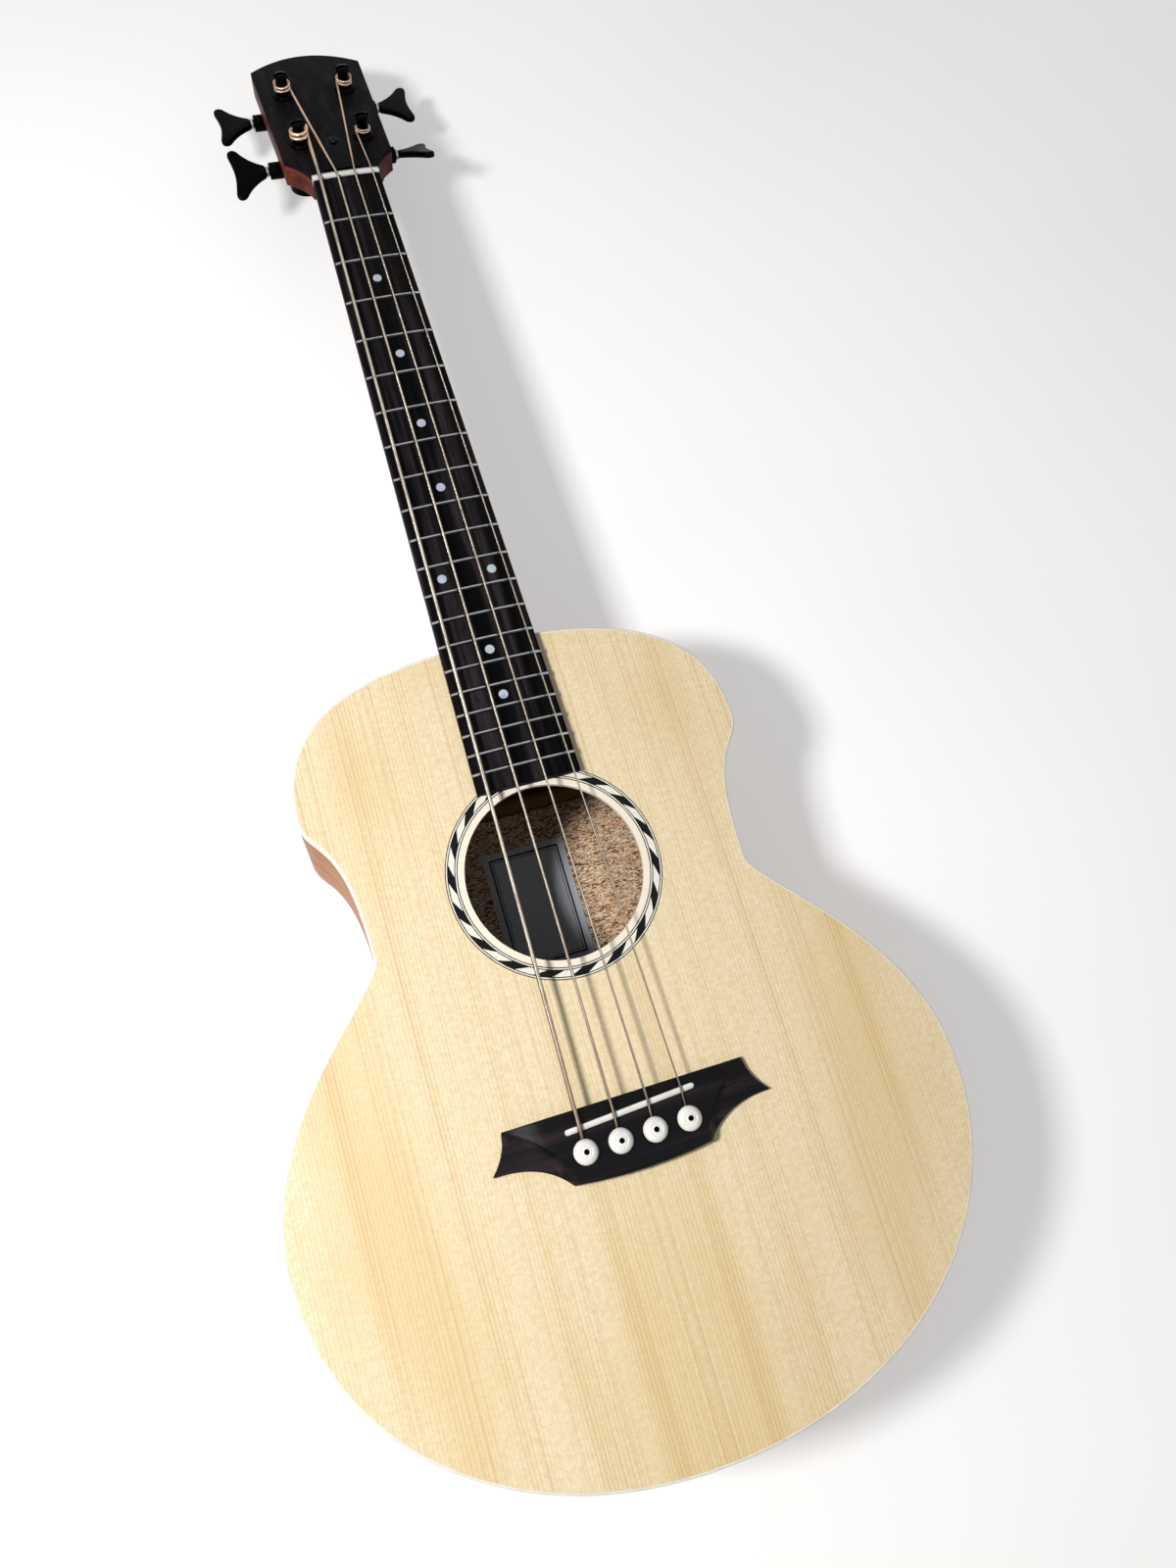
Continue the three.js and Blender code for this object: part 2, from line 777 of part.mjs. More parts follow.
const backBrace = (y) =>
  brace({
    middle: new THREE.Vector2(0, y),
    direction: new THREE.Vector2(1, 0),
    width: backBraceWidth,
    height: backBraceHeight,
    space: insideLinings,
    ...onBack,
  });

// One back brace lies above the label, one below it, and the others between that one and the tail block.
function backBraces() {
  const above = (holeY + labelHeight / 2 + bodyNeckY - neckBlockLength) / 2;
  const below = holeY - labelHeight / 2 - backBraceBelowLabel - backBraceWidth / 2;
  const lower = lowerBackBraceShares.map((share) =>
    THREE.MathUtils.lerp(below, bodyTailY + tailBlockLength, share),
  );
  return [above, below, ...lower].map(backBrace);
}

function bridgePlate() {
  const frontX = Math.min(crossEdgeX(bridgePlateFrontY), bridgePlateWidth / 2);
  const backX = Math.min(crossEdgeX(bridgePlateBackY), bridgePlateWidth / 2);
  const outline = [
    new THREE.Vector2(-frontX, bridgePlateFrontY),
    new THREE.Vector2(frontX, bridgePlateFrontY),
    new THREE.Vector2(backX, bridgePlateBackY),
    new THREE.Vector2(-backX, bridgePlateBackY),
  ];
  const plate = prism(outline, level(soundboardInside - bridgePlateThickness), level(soundboardInside));
  return cut(plate, ...pinBores(), ...stringBores());
}

// Bridge, saddle and pins

const bulgeX = (fromSpan, toSpan, share) => THREE.MathUtils.lerp(fromSpan, toSpan, share) / 2;
const bridgeCurves = {
  end: new THREE.QuadraticBezierCurve(
    new THREE.Vector2(bridgeFrontSpan / 2, bridgeFrontY),
    new THREE.Vector2(bulgeX(bridgeFrontSpan, bridgeTipSpan, bridgeBulgeShares.end), bridgeTipY / 2),
    new THREE.Vector2(bridgeTipSpan / 2, bridgeTipY + bridgeTipWidth / 2),
  ),
  back: new THREE.QuadraticBezierCurve(
    new THREE.Vector2(bridgeBackSpan / 2, bridgeBackY),
    new THREE.Vector2(bulgeX(bridgeBackSpan, bridgeTipSpan, bridgeBulgeShares.back), bridgeTipY),
    new THREE.Vector2(bridgeTipSpan / 2, bridgeTipY - bridgeTipWidth / 2),
  ),
  ridge: new THREE.QuadraticBezierCurve(
    new THREE.Vector2(bridgeBackSpan / 2 - bridgeRound, bridgeBackY + bridgeRound),
    new THREE.Vector2(bulgeX(bridgeBackSpan, bridgeFrontSpan, bridgeBulgeShares.ridge), bridgeTipY / 2),
    new THREE.Vector2(bridgeFrontSpan / 2, bridgeFrontY),
  ),
};

// A curve's y where it passes an x.
function curveY(curve, x) {
  const { v0, v1, v2 } = curve;
  const a = v0.x - 2 * v1.x + v2.x;
  const b = 2 * (v1.x - v0.x);
  const c = v0.x - x;
  const root = Math.sqrt(Math.max(b * b - 4 * a * c, 0));
  const share = Math.abs(a) < mergeDistance ? -c / b : (root - b) / (2 * a);
  return curve.getPoint(THREE.MathUtils.clamp(share, 0, 1)).y;
}

const bridgeBackAt = (x) => {
  const share = x / (bridgeBackSpan / 2);
  return share < 1 ? bridgeBackY - bridgeBackBulge * (1 - share * share) : curveY(bridgeCurves.back, x);
};
const bridgeFrontAt = (x) => (x < bridgeFrontSpan / 2 ? bridgeFrontY : curveY(bridgeCurves.end, x));

// One crosswise section of the bridge, from its front foot over the top or a scooped wing to its back foot.
function bridgeSection(x) {
  const { lerp, smoothstep } = THREE.MathUtils;
  const shares = bridgeSectionShares;
  const reachX = Math.abs(x);
  const frontY = bridgeFrontAt(reachX);
  const backY = bridgeBackAt(reachX);
  const ridgeStart = bridgeCurves.ridge.v0.x;
  const wingRidgeY = Math.min(curveY(bridgeCurves.ridge, reachX), frontY);
  const ridgeY = reachX < ridgeStart ? backY + bridgeRound : wingRidgeY;
  const slope = smoothstep(reachX, bridgeFlatSpan / 2, bridgeFrontSpan / 2);
  const top = lerp(bridgeThickness, bridgeFrontCornerThickness, slope);
  const scoop = smoothstep(reachX, ridgeStart, bridgeFlatSpan / 2);
  const tipSlope = smoothstep(reachX, bridgeFlatSpan / 2, bridgeTipSpan / 2);
  const wing = lerp(bridgeWingThickness, bridgeTipThickness, tipSlope);
  const edge = lerp(bridgeThickness - bridgeRound, wing, scoop);
  const flatShoulder = bridgeThickness - shares.shoulderDrop * bridgeRound;
  const shoulder = lerp(flatShoulder, lerp(wing, top, shares.shoulderRise), scoop);
  const shoulderY = lerp(ridgeY, backY, lerp(shares.shoulderOnFlat, shares.shoulderOnWing, scoop));
  const edgeY = lerp(frontY, ridgeY, shares.edgeLength);
  const onTop = [
    [frontY, top - shares.edgeDrop * bridgeThickness],
    [edgeY, top],
    [ridgeY, top],
    [shoulderY, shoulder],
    [backY, edge],
  ];
  const pastFront = [
    [frontY, wing],
    [edgeY, wing],
    [lerp(frontY, ridgeY, shares.tipTop), wing],
    [shoulderY, wing],
    [backY, wing],
  ];
  const upper = reachX < bridgeFrontSpan / 2 ? onTop : pastFront;
  const profile = [[frontY, glueLine], ...upper, [backY, glueLine]];
  return profile.map(([y, z]) => new THREE.Vector3(x, y, z));
}

function bridge() {
  const half = [0, bridgeBackSpan / 4, bridgeCurves.ridge.v0.x, bridgeBackSpan / 2];
  for (let k = 1; k <= bridgeWingSteps; k += 1) {
    half.push(bulgeX(bridgeBackSpan, bridgeFrontSpan, k / bridgeWingSteps));
  }
  for (let k = 1; k <= bridgeTipSteps; k += 1) {
    half.push(bulgeX(bridgeFrontSpan, bridgeTipSpan, k / bridgeTipSteps));
  }
  const stations = [...half.slice(1).reverse().map((x) => -x), ...half];
  const blank = loft(stations.map(bridgeSection));
  const slot = saddlePrism(runningFit, saddleSlotFloor - runningFit, saddleHeight + cutOverrun);
  return cut(blank, slot, ...pinBores(), ...stringBores());
}

// A round-ended bar in the saddle's place.
function saddlePrism(grow, low, high) {
  const radius = saddleThickness / 2 + grow;
  const straight = (saddleLength - saddleThickness) / 2;
  const shape = new THREE.Shape()
    .absarc(straight, 0, radius, -Math.PI / 2, Math.PI / 2, false)
    .absarc(-straight, 0, radius, Math.PI / 2, (3 * Math.PI) / 2, false);
  return extruded(shape, high - low, { curveSegments: saddleEndSteps })
    .translate(0, 0, low)
    .rotateZ(saddleSlant)
    .translate(0, saddleY, 0);
}

const saddleCrownY = (x) => saddleY + (saddlePeakShare * saddleThickness) / 2 + x * Math.tan(saddleSlant);

// A bar with a rounded crown, highest towards the strings' speaking length.
function saddle() {
  const half = saddleThickness / 2;
  const sections = Array.from({ length: saddleFacets + 1 }, (_, k) => {
    const x = THREE.MathUtils.lerp(-saddleLength, saddleLength, k / saddleFacets) / 2;
    const top = saddleHeight - crownDrop(x);
    const crown = saddleCrownShares.map(
      ([forwards, down]) => new THREE.Vector3(x, forwards * half, top - down * saddleCrown),
    );
    return [
      new THREE.Vector3(x, -half, saddleSlotFloor),
      new THREE.Vector3(x, half, saddleSlotFloor),
      ...crown,
    ];
  });
  const bar = loft(sections).rotateZ(saddleSlant).translate(0, saddleY, 0);
  return overlapOf(saddlePrism(0, 0, saddleHeight + cutOverrun), bar);
}

const saddleX = (index) => (index - stringMiddle) * saddleStringSpacing;

function pinBores() {
  const bottom = soundboardInside - bridgePlateThickness - cutOverrun;
  return strings.map((string, index) =>
    roundBar(pinRadius + runningFit, bottom, bridgeThickness + cutOverrun, pinSides)
      .translate(saddleX(index), pinY, 0),
  );
}

function bridgePin(index) {
  const rim = bridgeThickness + pinHeadLift;
  const profile = [
    [0, -pinReach],
    [pinTipRadius, -pinReach],
    [pinRadius, rim],
    ...pinHeadShares.map(([wide, tall]) => [wide * pinHeadRadius, rim + tall * pinHeadHeight]),
  ];
  const whole = turned(profile, pinSides).translate(saddleX(index), pinY, 0);
  return cut(whole, stringBores()[index]);
}

// Strings

const headPlacement = new THREE.Matrix4()
  .makeTranslation(0, nutFrontY, 0)
  .multiply(new THREE.Matrix4().makeRotationX(-headAngle));
const toHead = headPlacement.clone().invert();

// Rounds a corner of a route with a short curve.
function bend(before, corner, after, length, steps = bendSteps) {
  const towards = (end) => corner.clone().addScaledVector(end.clone().sub(corner).normalize(), length);
  return new THREE.QuadraticBezierCurve3(towards(before), corner, towards(after)).getPoints(steps);
}

// The winding climbs the post from where the string first touches it.
function windingRoute({ diameter, side, row, turns }, nutPoint) {
  const radius = windingRadius + 2 * runningFit + diameter / 2;
  const start = nutPoint.clone().applyMatrix4(toHead);
  const offset = new THREE.Vector2(start.x - side * postX, start.y - postRows[row]);
  const touch = offset.angle() - side * Math.acos(radius / offset.length());
  const low = veneerThickness + glueLine + bushingFlangeThickness + 2 * runningFit + diameter / 2;
  const pitch = diameter + windingGap;
  const at = (turn) => {
    const angle = touch - side * 2 * Math.PI * turn;
    return new THREE.Vector3(
      side * postX + radius * Math.cos(angle),
      postRows[row] + radius * Math.sin(angle),
      low + pitch * turn,
    );
  };
  const coil = Array.from({ length: turns * windingSteps + 1 }, (_, k) => at(k / windingSteps));
  const heading = coil.at(-1).clone().sub(coil.at(-2)).normalize();
  const tip = coil.at(-1).clone().addScaledVector(heading, diameter);
  return [...coil, tip].map((point) => point.applyMatrix4(headPlacement));
}

// The string's centre line from its anchor under the bridge to its winding, and its radius at each point.
function stringRoute(string, index, grow = 0) {
  const radius = string.diameter / 2;
  const anchorTop = soundboardInside - bridgePlateThickness - runningFit - glueLine + grow;
  const throughY = pinY + pinRadius;
  const x = saddleX(index);
  const nutX = (index - stringMiddle) * nutStringSpacing;
  const anchor = new THREE.Vector3(x, throughY, anchorTop - stringEndLength - 2 * grow);
  const neckOfAnchor = new THREE.Vector3(x, throughY, anchorTop);
  const turn = new THREE.Vector3(x, throughY, bridgeThickness - radius);
  const crown = new THREE.Vector3(x, saddleCrownY(x), saddleHeight - crownDrop(x) + radius + 2 * runningFit);
  const nut = new THREE.Vector3(nutX, scaleLength, nutStringHeight - crownDrop(nutX) + radius);
  const winding = windingRoute(string, nut);
  const route = [
    anchor,
    neckOfAnchor,
    neckOfAnchor.clone().setZ(anchorTop + stringEndShoulder),
    ...bend(neckOfAnchor, turn, crown, pinBendLength, pinBendSteps),
    ...bend(turn, crown, nut, saddleBendLength),
    ...bend(crown, nut, winding[0], nutBendLength),
    ...winding,
  ];
  const radii = route.map((point, i) => (i < 2 ? stringEndRadius : radius) + grow);
  return { route, radii, winding };
}

function stringTube(string, index, grow = 0) {
  const { route, radii } = stringRoute(string, index, grow);
  return tube(route, radii, windingSides);
}

const stringBores = () => strings.map((string, index) => stringTube(string, index, runningFit));

// The least gap between stretches of a winding that lie more than half a turn apart.
function leastWindingGap({ diameter }, winding) {
  let least = Infinity;
  winding.forEach((point, i) => {
    winding.slice(i + windingSteps / 2 + 1).forEach((other) => {
      least = Math.min(least, point.distanceTo(other) - diameter);
    });
  });
  return least;
}

// Fretboard and nut

// The playing surface rises over each fret, so the board and its frets are one skin.
function fretboard() {
  const stations = [[fretboardEndY, 0]];
  for (let fret = fretCount; fret > 0; fret -= 1) {
    const y = fretY(fret);
    const foot = fretWidth / 2;
    const crown = fretCrownShare * foot;
    stations.push([y - foot, 0], [y - crown, fretHeight], [y + crown, fretHeight], [y + foot, 0]);
  }
  stations.push([scaleLength - glueLine, 0]);
  const rows = stations.map(([y, rise]) => {
    const half = fretboardHalfWidth(y);
    const top = Array.from({ length: fretboardFacets + 1 }, (_, k) => {
      const x = THREE.MathUtils.lerp(-half, half, k / fretboardFacets);
      return new THREE.Vector3(x, y, fretboardThickness + rise - crownDrop(x));
    });
    return [new THREE.Vector3(half, y, glueLine), new THREE.Vector3(-half, y, glueLine), ...top];
  });
  return loft(rows);
}

function nut() {
  const thinnest = Math.min(...strings.map(({ diameter }) => diameter));
  const top = nutStringHeight + thinnest / 2;
  const rows = Array.from({ length: nutFacets + 1 }, (_, k) => {
    const x = THREE.MathUtils.lerp(-nutWidth, nutWidth, k / nutFacets) / 2;
    const crest = top - crownDrop(x);
    return [
      new THREE.Vector3(x, scaleLength, glueLine),
      new THREE.Vector3(x, scaleLength, crest),
      new THREE.Vector3(x, scaleLength + nutCrownLength, crest),
      new THREE.Vector3(x, nutFrontY - glueLine, crest - nutBackDrop),
      new THREE.Vector3(x, nutFrontY - glueLine, glueLine),
    ];
  });
  return cut(loft(rows), ...stringBores());
}

// Neck

// The dovetail that locks the heel into the neck block, narrow at the body's edge and wide inside.
function dovetail(grow, frontY, top) {
  const backY = bodyNeckY - tenonLength - grow;
  const widthAt = (y) => tenonHalfWidth + grow + (tenonFlare * (bodyNeckY - y)) / tenonLength;
  const outline = [
    new THREE.Vector2(-widthAt(frontY), frontY),
    new THREE.Vector2(widthAt(frontY), frontY),
    new THREE.Vector2(widthAt(backY), backY),
    new THREE.Vector2(-widthAt(backY), backY),
  ];
  return prism(outline, level(-tenonDepth - grow), level(top));
}

const tenonSlot = () => dovetail(glueLine, bodyNeckY + cutOverrun, cutOverrun);

// One crosswise section of the neck: flat on top and round below.
function neckSection(y, { half, depth, top = 0, roundness, taper = 0 }) {
  return Array.from({ length: neckSectionSteps + 1 }, (_, k) => {
    const angle = (Math.PI * k) / neckSectionSteps;
    const down = Math.sin(angle) ** roundness;
    const across = Math.sign(Math.cos(angle)) * Math.abs(Math.cos(angle)) ** roundness;
    return new THREE.Vector3(half * across * (1 - taper * down), y, top - depth * down);
  });
}

function neckShaft() {
  const capY = bodyNeckY + heelCapLength;
  const curveEndY = capY + heelCurveLength;
  const heelRow = (y, share) => {
    const drop = 1 - Math.sqrt(1 - share * share);
    return neckSection(y, {
      half: fretboardHalfWidth(y),
      depth: THREE.MathUtils.lerp(neckDepthAtHeel, heelCapDepth, drop),
      roundness: THREE.MathUtils.lerp(shaftRoundness, heelRoundness, drop),
      taper: heelTaper * drop,
    });
  };
  const headRunY = nutFrontY + headRunLength;
  const faceDrop = headRunLength * Math.tan(headAngle);
  const bottomDrop = faceDrop + headThickness / Math.cos(headAngle);
  const nutEnd = { half: nutWidth / 2, depth: neckDepthAtNut, roundness: shaftRoundness };
  const insideHead = {
    half: nutWidth / 2 - headRunInset,
    top: -faceDrop - headRunCover,
    depth: bottomDrop - faceDrop - 2 * headRunCover,
    roundness: shaftRoundness,
  };
  const rows = [
    heelRow(bodyNeckY - cutOverrun, 1),
    ...heelCurveShares.toReversed().map((share) => heelRow(curveEndY - share * heelCurveLength, share)),
    neckSection(nutFrontY, nutEnd),
    neckSection(headRunY, insideHead),
  ];
  return loft(rows);
}

function headOutline() {
  const nutHalf = nutWidth / 2;
  const shoulder = headShoulderWidth / 2;
  const top = headTopWidth / 2;
  const cornerY = headLength - headArch;
  const waistX = THREE.MathUtils.lerp(nutHalf, shoulder, headWaistShares.across);
  const waistY = headWaistShares.along * headShoulderY;
  return new THREE.Shape()
    .moveTo(-nutHalf, 0)
    .lineTo(nutHalf, 0)
    .quadraticCurveTo(waistX, waistY, shoulder, headShoulderY)
    .lineTo(top, cornerY)
    .quadraticCurveTo(0, cornerY + 2 * headArch, -top, cornerY)
    .lineTo(-shoulder, headShoulderY)
    .quadraticCurveTo(-waistX, waistY, -nutHalf, 0);
}

// Cutters through the head: four bushing holes, the truss rod's pocket and the cover's screw hole.
function headCutters() {
  const high = veneerThickness + cutOverrun;
  const low = -headThickness - cutOverrun;
  const holes = strings.map(({ side, row }) =>
    roundBar(bushingSleeveRadius + runningFit, low, high).translate(side * postX, postRows[row], 0),
  );
  const pocket = block(
    new THREE.Vector3(-pocketWidth / 2, pocketStart, -pocketDepth),
    new THREE.Vector3(pocketWidth / 2, pocketLength, high),
  );
  const screwHole = roundBar(screwRadius + runningFit, -screwLength, high, screwSides);
  return [...holes, pocket, screwHole.translate(0, screwY, 0)];
}

function neck() {
  const plate = extruded(headOutline(), headThickness, { curveSegments: headCurveSteps })
    .translate(0, 0, -headThickness)
    .applyMatrix4(headPlacement);
  const bodySpace = prism(fullOutline(-glueLine), (y) => backAt(y) - cutOverrun, level(cutOverrun));
  const heel = cut(neckShaft(), bodySpace);
  const tenon = dovetail(0, bodyNeckY + heelCapLength / 2, -glueLine);
  const channelHalf = rodWidth / 2 + glueLine;
  const channelY = bodyNeckY + rodStartPastBody - glueLine;
  const channel = block(
    new THREE.Vector3(-channelHalf, channelY, -rodHeight - 2 * glueLine),
    new THREE.Vector3(channelHalf, nutFrontY + headRunLength, cutOverrun),
  );
  const pockets = headCutters().map((cutter) => cutter.applyMatrix4(headPlacement));
  return cut(join(heel, tenon, plate), channel, ...pockets);
}

function veneer() {
  const sheet = extruded(headOutline(), veneerThickness - glueLine, { curveSegments: headCurveSteps })
    .translate(0, 0, glueLine);
  return cut(sheet, ...headCutters());
}

// The adjusting nut stands in the head's pocket, past the string nut.
function trussRod() {
  const startY = bodyNeckY + rodStartPastBody;
  const bar = block(
    new THREE.Vector3(-rodWidth / 2, startY, -rodHeight - glueLine),
    new THREE.Vector3(rodWidth / 2, nutFrontY, -glueLine),
  );
  const thread = roundBar(rodThreadRadius, -nutThickness, rodNutLength / 2, shaftSides);
  const adjuster = roundBar(rodNutRadius, pocketStart + 2 * glueLine, rodNutLength, rodNutSides);
  const placed = (end) => end.rotateX(-Math.PI / 2).translate(0, nutFrontY, -rodNutDrop);
  return join(bar, placed(thread), placed(adjuster));
}

function trussRodCover() {
  const foot = coverWidth / 2;
  const tip = coverTipWidth / 2;
  const waistX = THREE.MathUtils.lerp(tip, foot, coverWaistShare);
  const waistY = coverLength / 2;
  const shape = new THREE.Shape()
    .moveTo(-foot, 0)
    .lineTo(foot, 0)
    .quadraticCurveTo(foot, waistY / 2, waistX, waistY)
    .quadraticCurveTo(tip, coverLength, 0, coverLength)
    .quadraticCurveTo(-tip, coverLength, -waistX, waistY)
    .quadraticCurveTo(-foot, waistY / 2, -foot, 0);
  const plate = extruded(shape, coverThickness, { curveSegments: headCurveSteps })
    .translate(0, coverStart, veneerThickness + glueLine);
  return cut(plate, ...headCutters().slice(-1));
}

function coverScrew() {
  const seat = veneerThickness + 2 * glueLine + coverThickness;
  const profile = [
    [0, glueLine - screwLength],
    [screwRadius, screwRadius - screwLength],
    [screwRadius, seat],
    ...screwHeadShares.map(([wide, tall]) => [wide * screwHeadRadius, seat + tall * screwHeadHeight]),
  ];
  const slotReach = screwSlotShare * screwHeadRadius;
  const slot = (turn) =>
    block(
      new THREE.Vector3(-slotReach, -screwSlotWidth / 2, seat + screwHeadHeight / 2),
      new THREE.Vector3(slotReach, screwSlotWidth / 2, seat + cutOverrun),
    ).rotateZ(turn);
  return cut(turned(profile, screwSides), slot(0), slot(Math.PI / 2));
}

// Tuners. Each is drawn with its post on the z axis, its worm on the -Y side and its key pointing along +X.
// onHead then turns it, so that its worm lies past the post as seen from the nut.

const wormY = -gearDistance;

// Half the angle that an involute tooth fills at a radius. Below the base circle its flank is radial.
function toothHalfAngle(radius) {
  const involute = (angle) => Math.tan(angle) - angle;
  const baseRadius = wheelPitchRadius * Math.cos(pressureAngle);
  const pressureAt = Math.acos(Math.min(baseRadius / radius, 1));
  const halfThickness = toothPitch / 4 - gearClearance;
  return halfThickness / wheelPitchRadius + involute(pressureAngle) - involute(pressureAt);
}

// The wheel's teeth lean by the worm's lead, so each layer is turned a little further.
function wormWheel() {
  const radii = [wheelPitchRadius - toothRootDepth, wheelPitchRadius + gearModule - gearClearance];
  const lead = toothPitch / (2 * Math.PI * wormPitchRadius);
  const layer = (height) => {
    const lean = (lead * height) / wheelPitchRadius;
    return Array.from({ length: wheelTeeth }, (_, tooth) => {
      const middle = (2 * Math.PI * (tooth + 0.5)) / wheelTeeth - Math.PI / 2 + lean;
      const rising = radii.map((radius) => [radius, middle - toothHalfAngle(radius)]);
      const falling = radii.map((radius) => [radius, middle + toothHalfAngle(radius)]).reverse();
      return [...rising, ...falling];
    })
      .flat()
      .map(([radius, angle]) => [radius * Math.cos(angle), radius * Math.sin(angle)])
      .map(([x, y]) => new THREE.Vector3(x, y, wormDrop + height));
  };
  return loft([layer(-wheelWidth / 2), layer(wheelWidth / 2)]);
}

function tunerPost() {
  const collar = veneerThickness + glueLine + bushingFlangeThickness + runningFit;
  const top = veneerThickness + postHeight;
  const flange = top - postDomeHeight - postFlangeThickness;
  const wheelLow = wormDrop - wheelWidth / 2;
  const core = wheelPitchRadius / 2;
  const profile = [
    [0, wheelLow - journalLength],
    [journalRadius, wheelLow - journalLength],
    [journalRadius, wheelLow + glueLine],
    [core, wheelLow + glueLine],
    [core, wormDrop],
    [postRadius, wormDrop],
    [postRadius, collar],
    [windingRadius, collar],
    [windingRadius, flange],
    [postFlangeRadius, flange],
    [postFlangeRadius, flange + postFlangeThickness],
    [postFlangeRadius / 2, top],
    [0, top],
  ];
  const slot = block(
    new THREE.Vector3(-postFlangeRadius - cutOverrun, -postSlotWidth / 2, top - postSlotDepth),
    new THREE.Vector3(postFlangeRadius + cutOverrun, postSlotWidth / 2, top + cutOverrun),
  );
  const bore = roundBar(postBoreRadius, top - postBoreDepth, top + cutOverrun, postBoreSides);
  return cut(join(turned(profile), wormWheel()), slot, bore);
}

// The worm's thread is a rack tooth swept round the shaft.
function wormThread() {
  const halfWidth = (radius) => toothPitch / 4 - (radius - wormPitchRadius) * Math.tan(pressureAngle);
  const root = wormRootRadius - 2 * gearClearance;
  const count = Math.round(wormTurns * wormSteps);
  const rows = Array.from({ length: count + 1 }, (_, k) => {
    const turn = k / wormSteps - wormTurns / 2;
    const angle = 2 * Math.PI * turn;
    const corners = [
      [-halfWidth(root), root],
      [-halfWidth(wormOuterRadius), wormOuterRadius],
      [halfWidth(wormOuterRadius), wormOuterRadius],
      [halfWidth(root), root],
    ];
    return corners.map(([along, radius]) =>
      new THREE.Vector3(toothPitch * turn + along, radius * Math.cos(angle), radius * Math.sin(angle)),
    );
  });
  return loft(rows);
}

const wormHalfLength = (toothPitch * wormTurns) / 2 + toothPitch / 2;

// Turns a piece drawn round the z axis onto the key's axis.
const alongKey = (geometry) => geometry.rotateY(Math.PI / 2);

function tunerKeyShaft() {
  const end = barrelEnd + 2 * runningFit;
  const inside = wormHalfLength + runningFit;
  const profile = [
    [0, -inside - journalLength],
    [journalRadius, -inside - journalLength],
    [journalRadius, -wormHalfLength],
    [wormRootRadius, -wormHalfLength],
    [wormRootRadius, wormHalfLength],
    [keyShaftRadius, wormHalfLength],
    [keyShaftRadius, end],
    [keyRingRadius, end],
    [keyRingRadius, end + keyRingLength],
    [keyShaftRadius, end + keyRingLength],
    [keyShaftRadius, end + keyRingLength + keyShaftRadius],
    [0, end + keyRingLength + keyShaftRadius],
  ];
  return alongKey(turned(profile, shaftSides));
}

// The key is a leaf with two lobes, drawn flat and bevelled, and then turned on its shaft.
function tunerKeyLeaf(keyLift) {
  const half = keySpan / 2 - keyBevel;
  const length = keyLength - 2 * keyBevel;
  const hub = keyHubShare * half;
  const at = (shares) => shares.map((share, i) => (i % 2 ? share * half : share * length));
  const [flank, lobe, crest, notch] = keyLobeShares.map(at);
  const mirrored = ([x, y]) => [x, -y];
  const pairs = (values) =>
    Array.from({ length: values.length / 2 }, (_, k) => values.slice(2 * k, 2 * k + 2));
  // The same curve drawn the other way round on the other side of the centre line.
  const back = (values, start) => {
    const points = [start, ...pairs(values)].map(mirrored).reverse();
    return points.slice(1).flat();
  };
  const shape = new THREE.Shape()
    .moveTo(0, hub)
    .quadraticCurveTo(...flank)
    .bezierCurveTo(...lobe)
    .bezierCurveTo(...crest)
    .bezierCurveTo(...notch)
    .bezierCurveTo(...back(notch, crest.slice(-2)))
    .bezierCurveTo(...back(crest, lobe.slice(-2)))
    .bezierCurveTo(...back(lobe, flank.slice(-2)))
    .quadraticCurveTo(...back(flank, [0, hub]));
  const bevel = { bevelEnabled: true, bevelThickness: keyBevel, bevelSize: keyBevel, bevelSegments: 1 };
  const start = barrelEnd + 2 * runningFit + keyRingLength + keyBevel;
  return extruded(shape, keyThickness - 2 * keyBevel, { ...bevel, curveSegments: tunerCurveSteps })
    .translate(start, 0, keyBevel - keyThickness / 2)
    .rotateX(-THREE.MathUtils.degToRad(keyLift));
}

const tunerKey = (keyLift) =>
  join(tunerKeyShaft(), wormThread(), tunerKeyLeaf(keyLift)).translate(0, wormY, wormDrop);

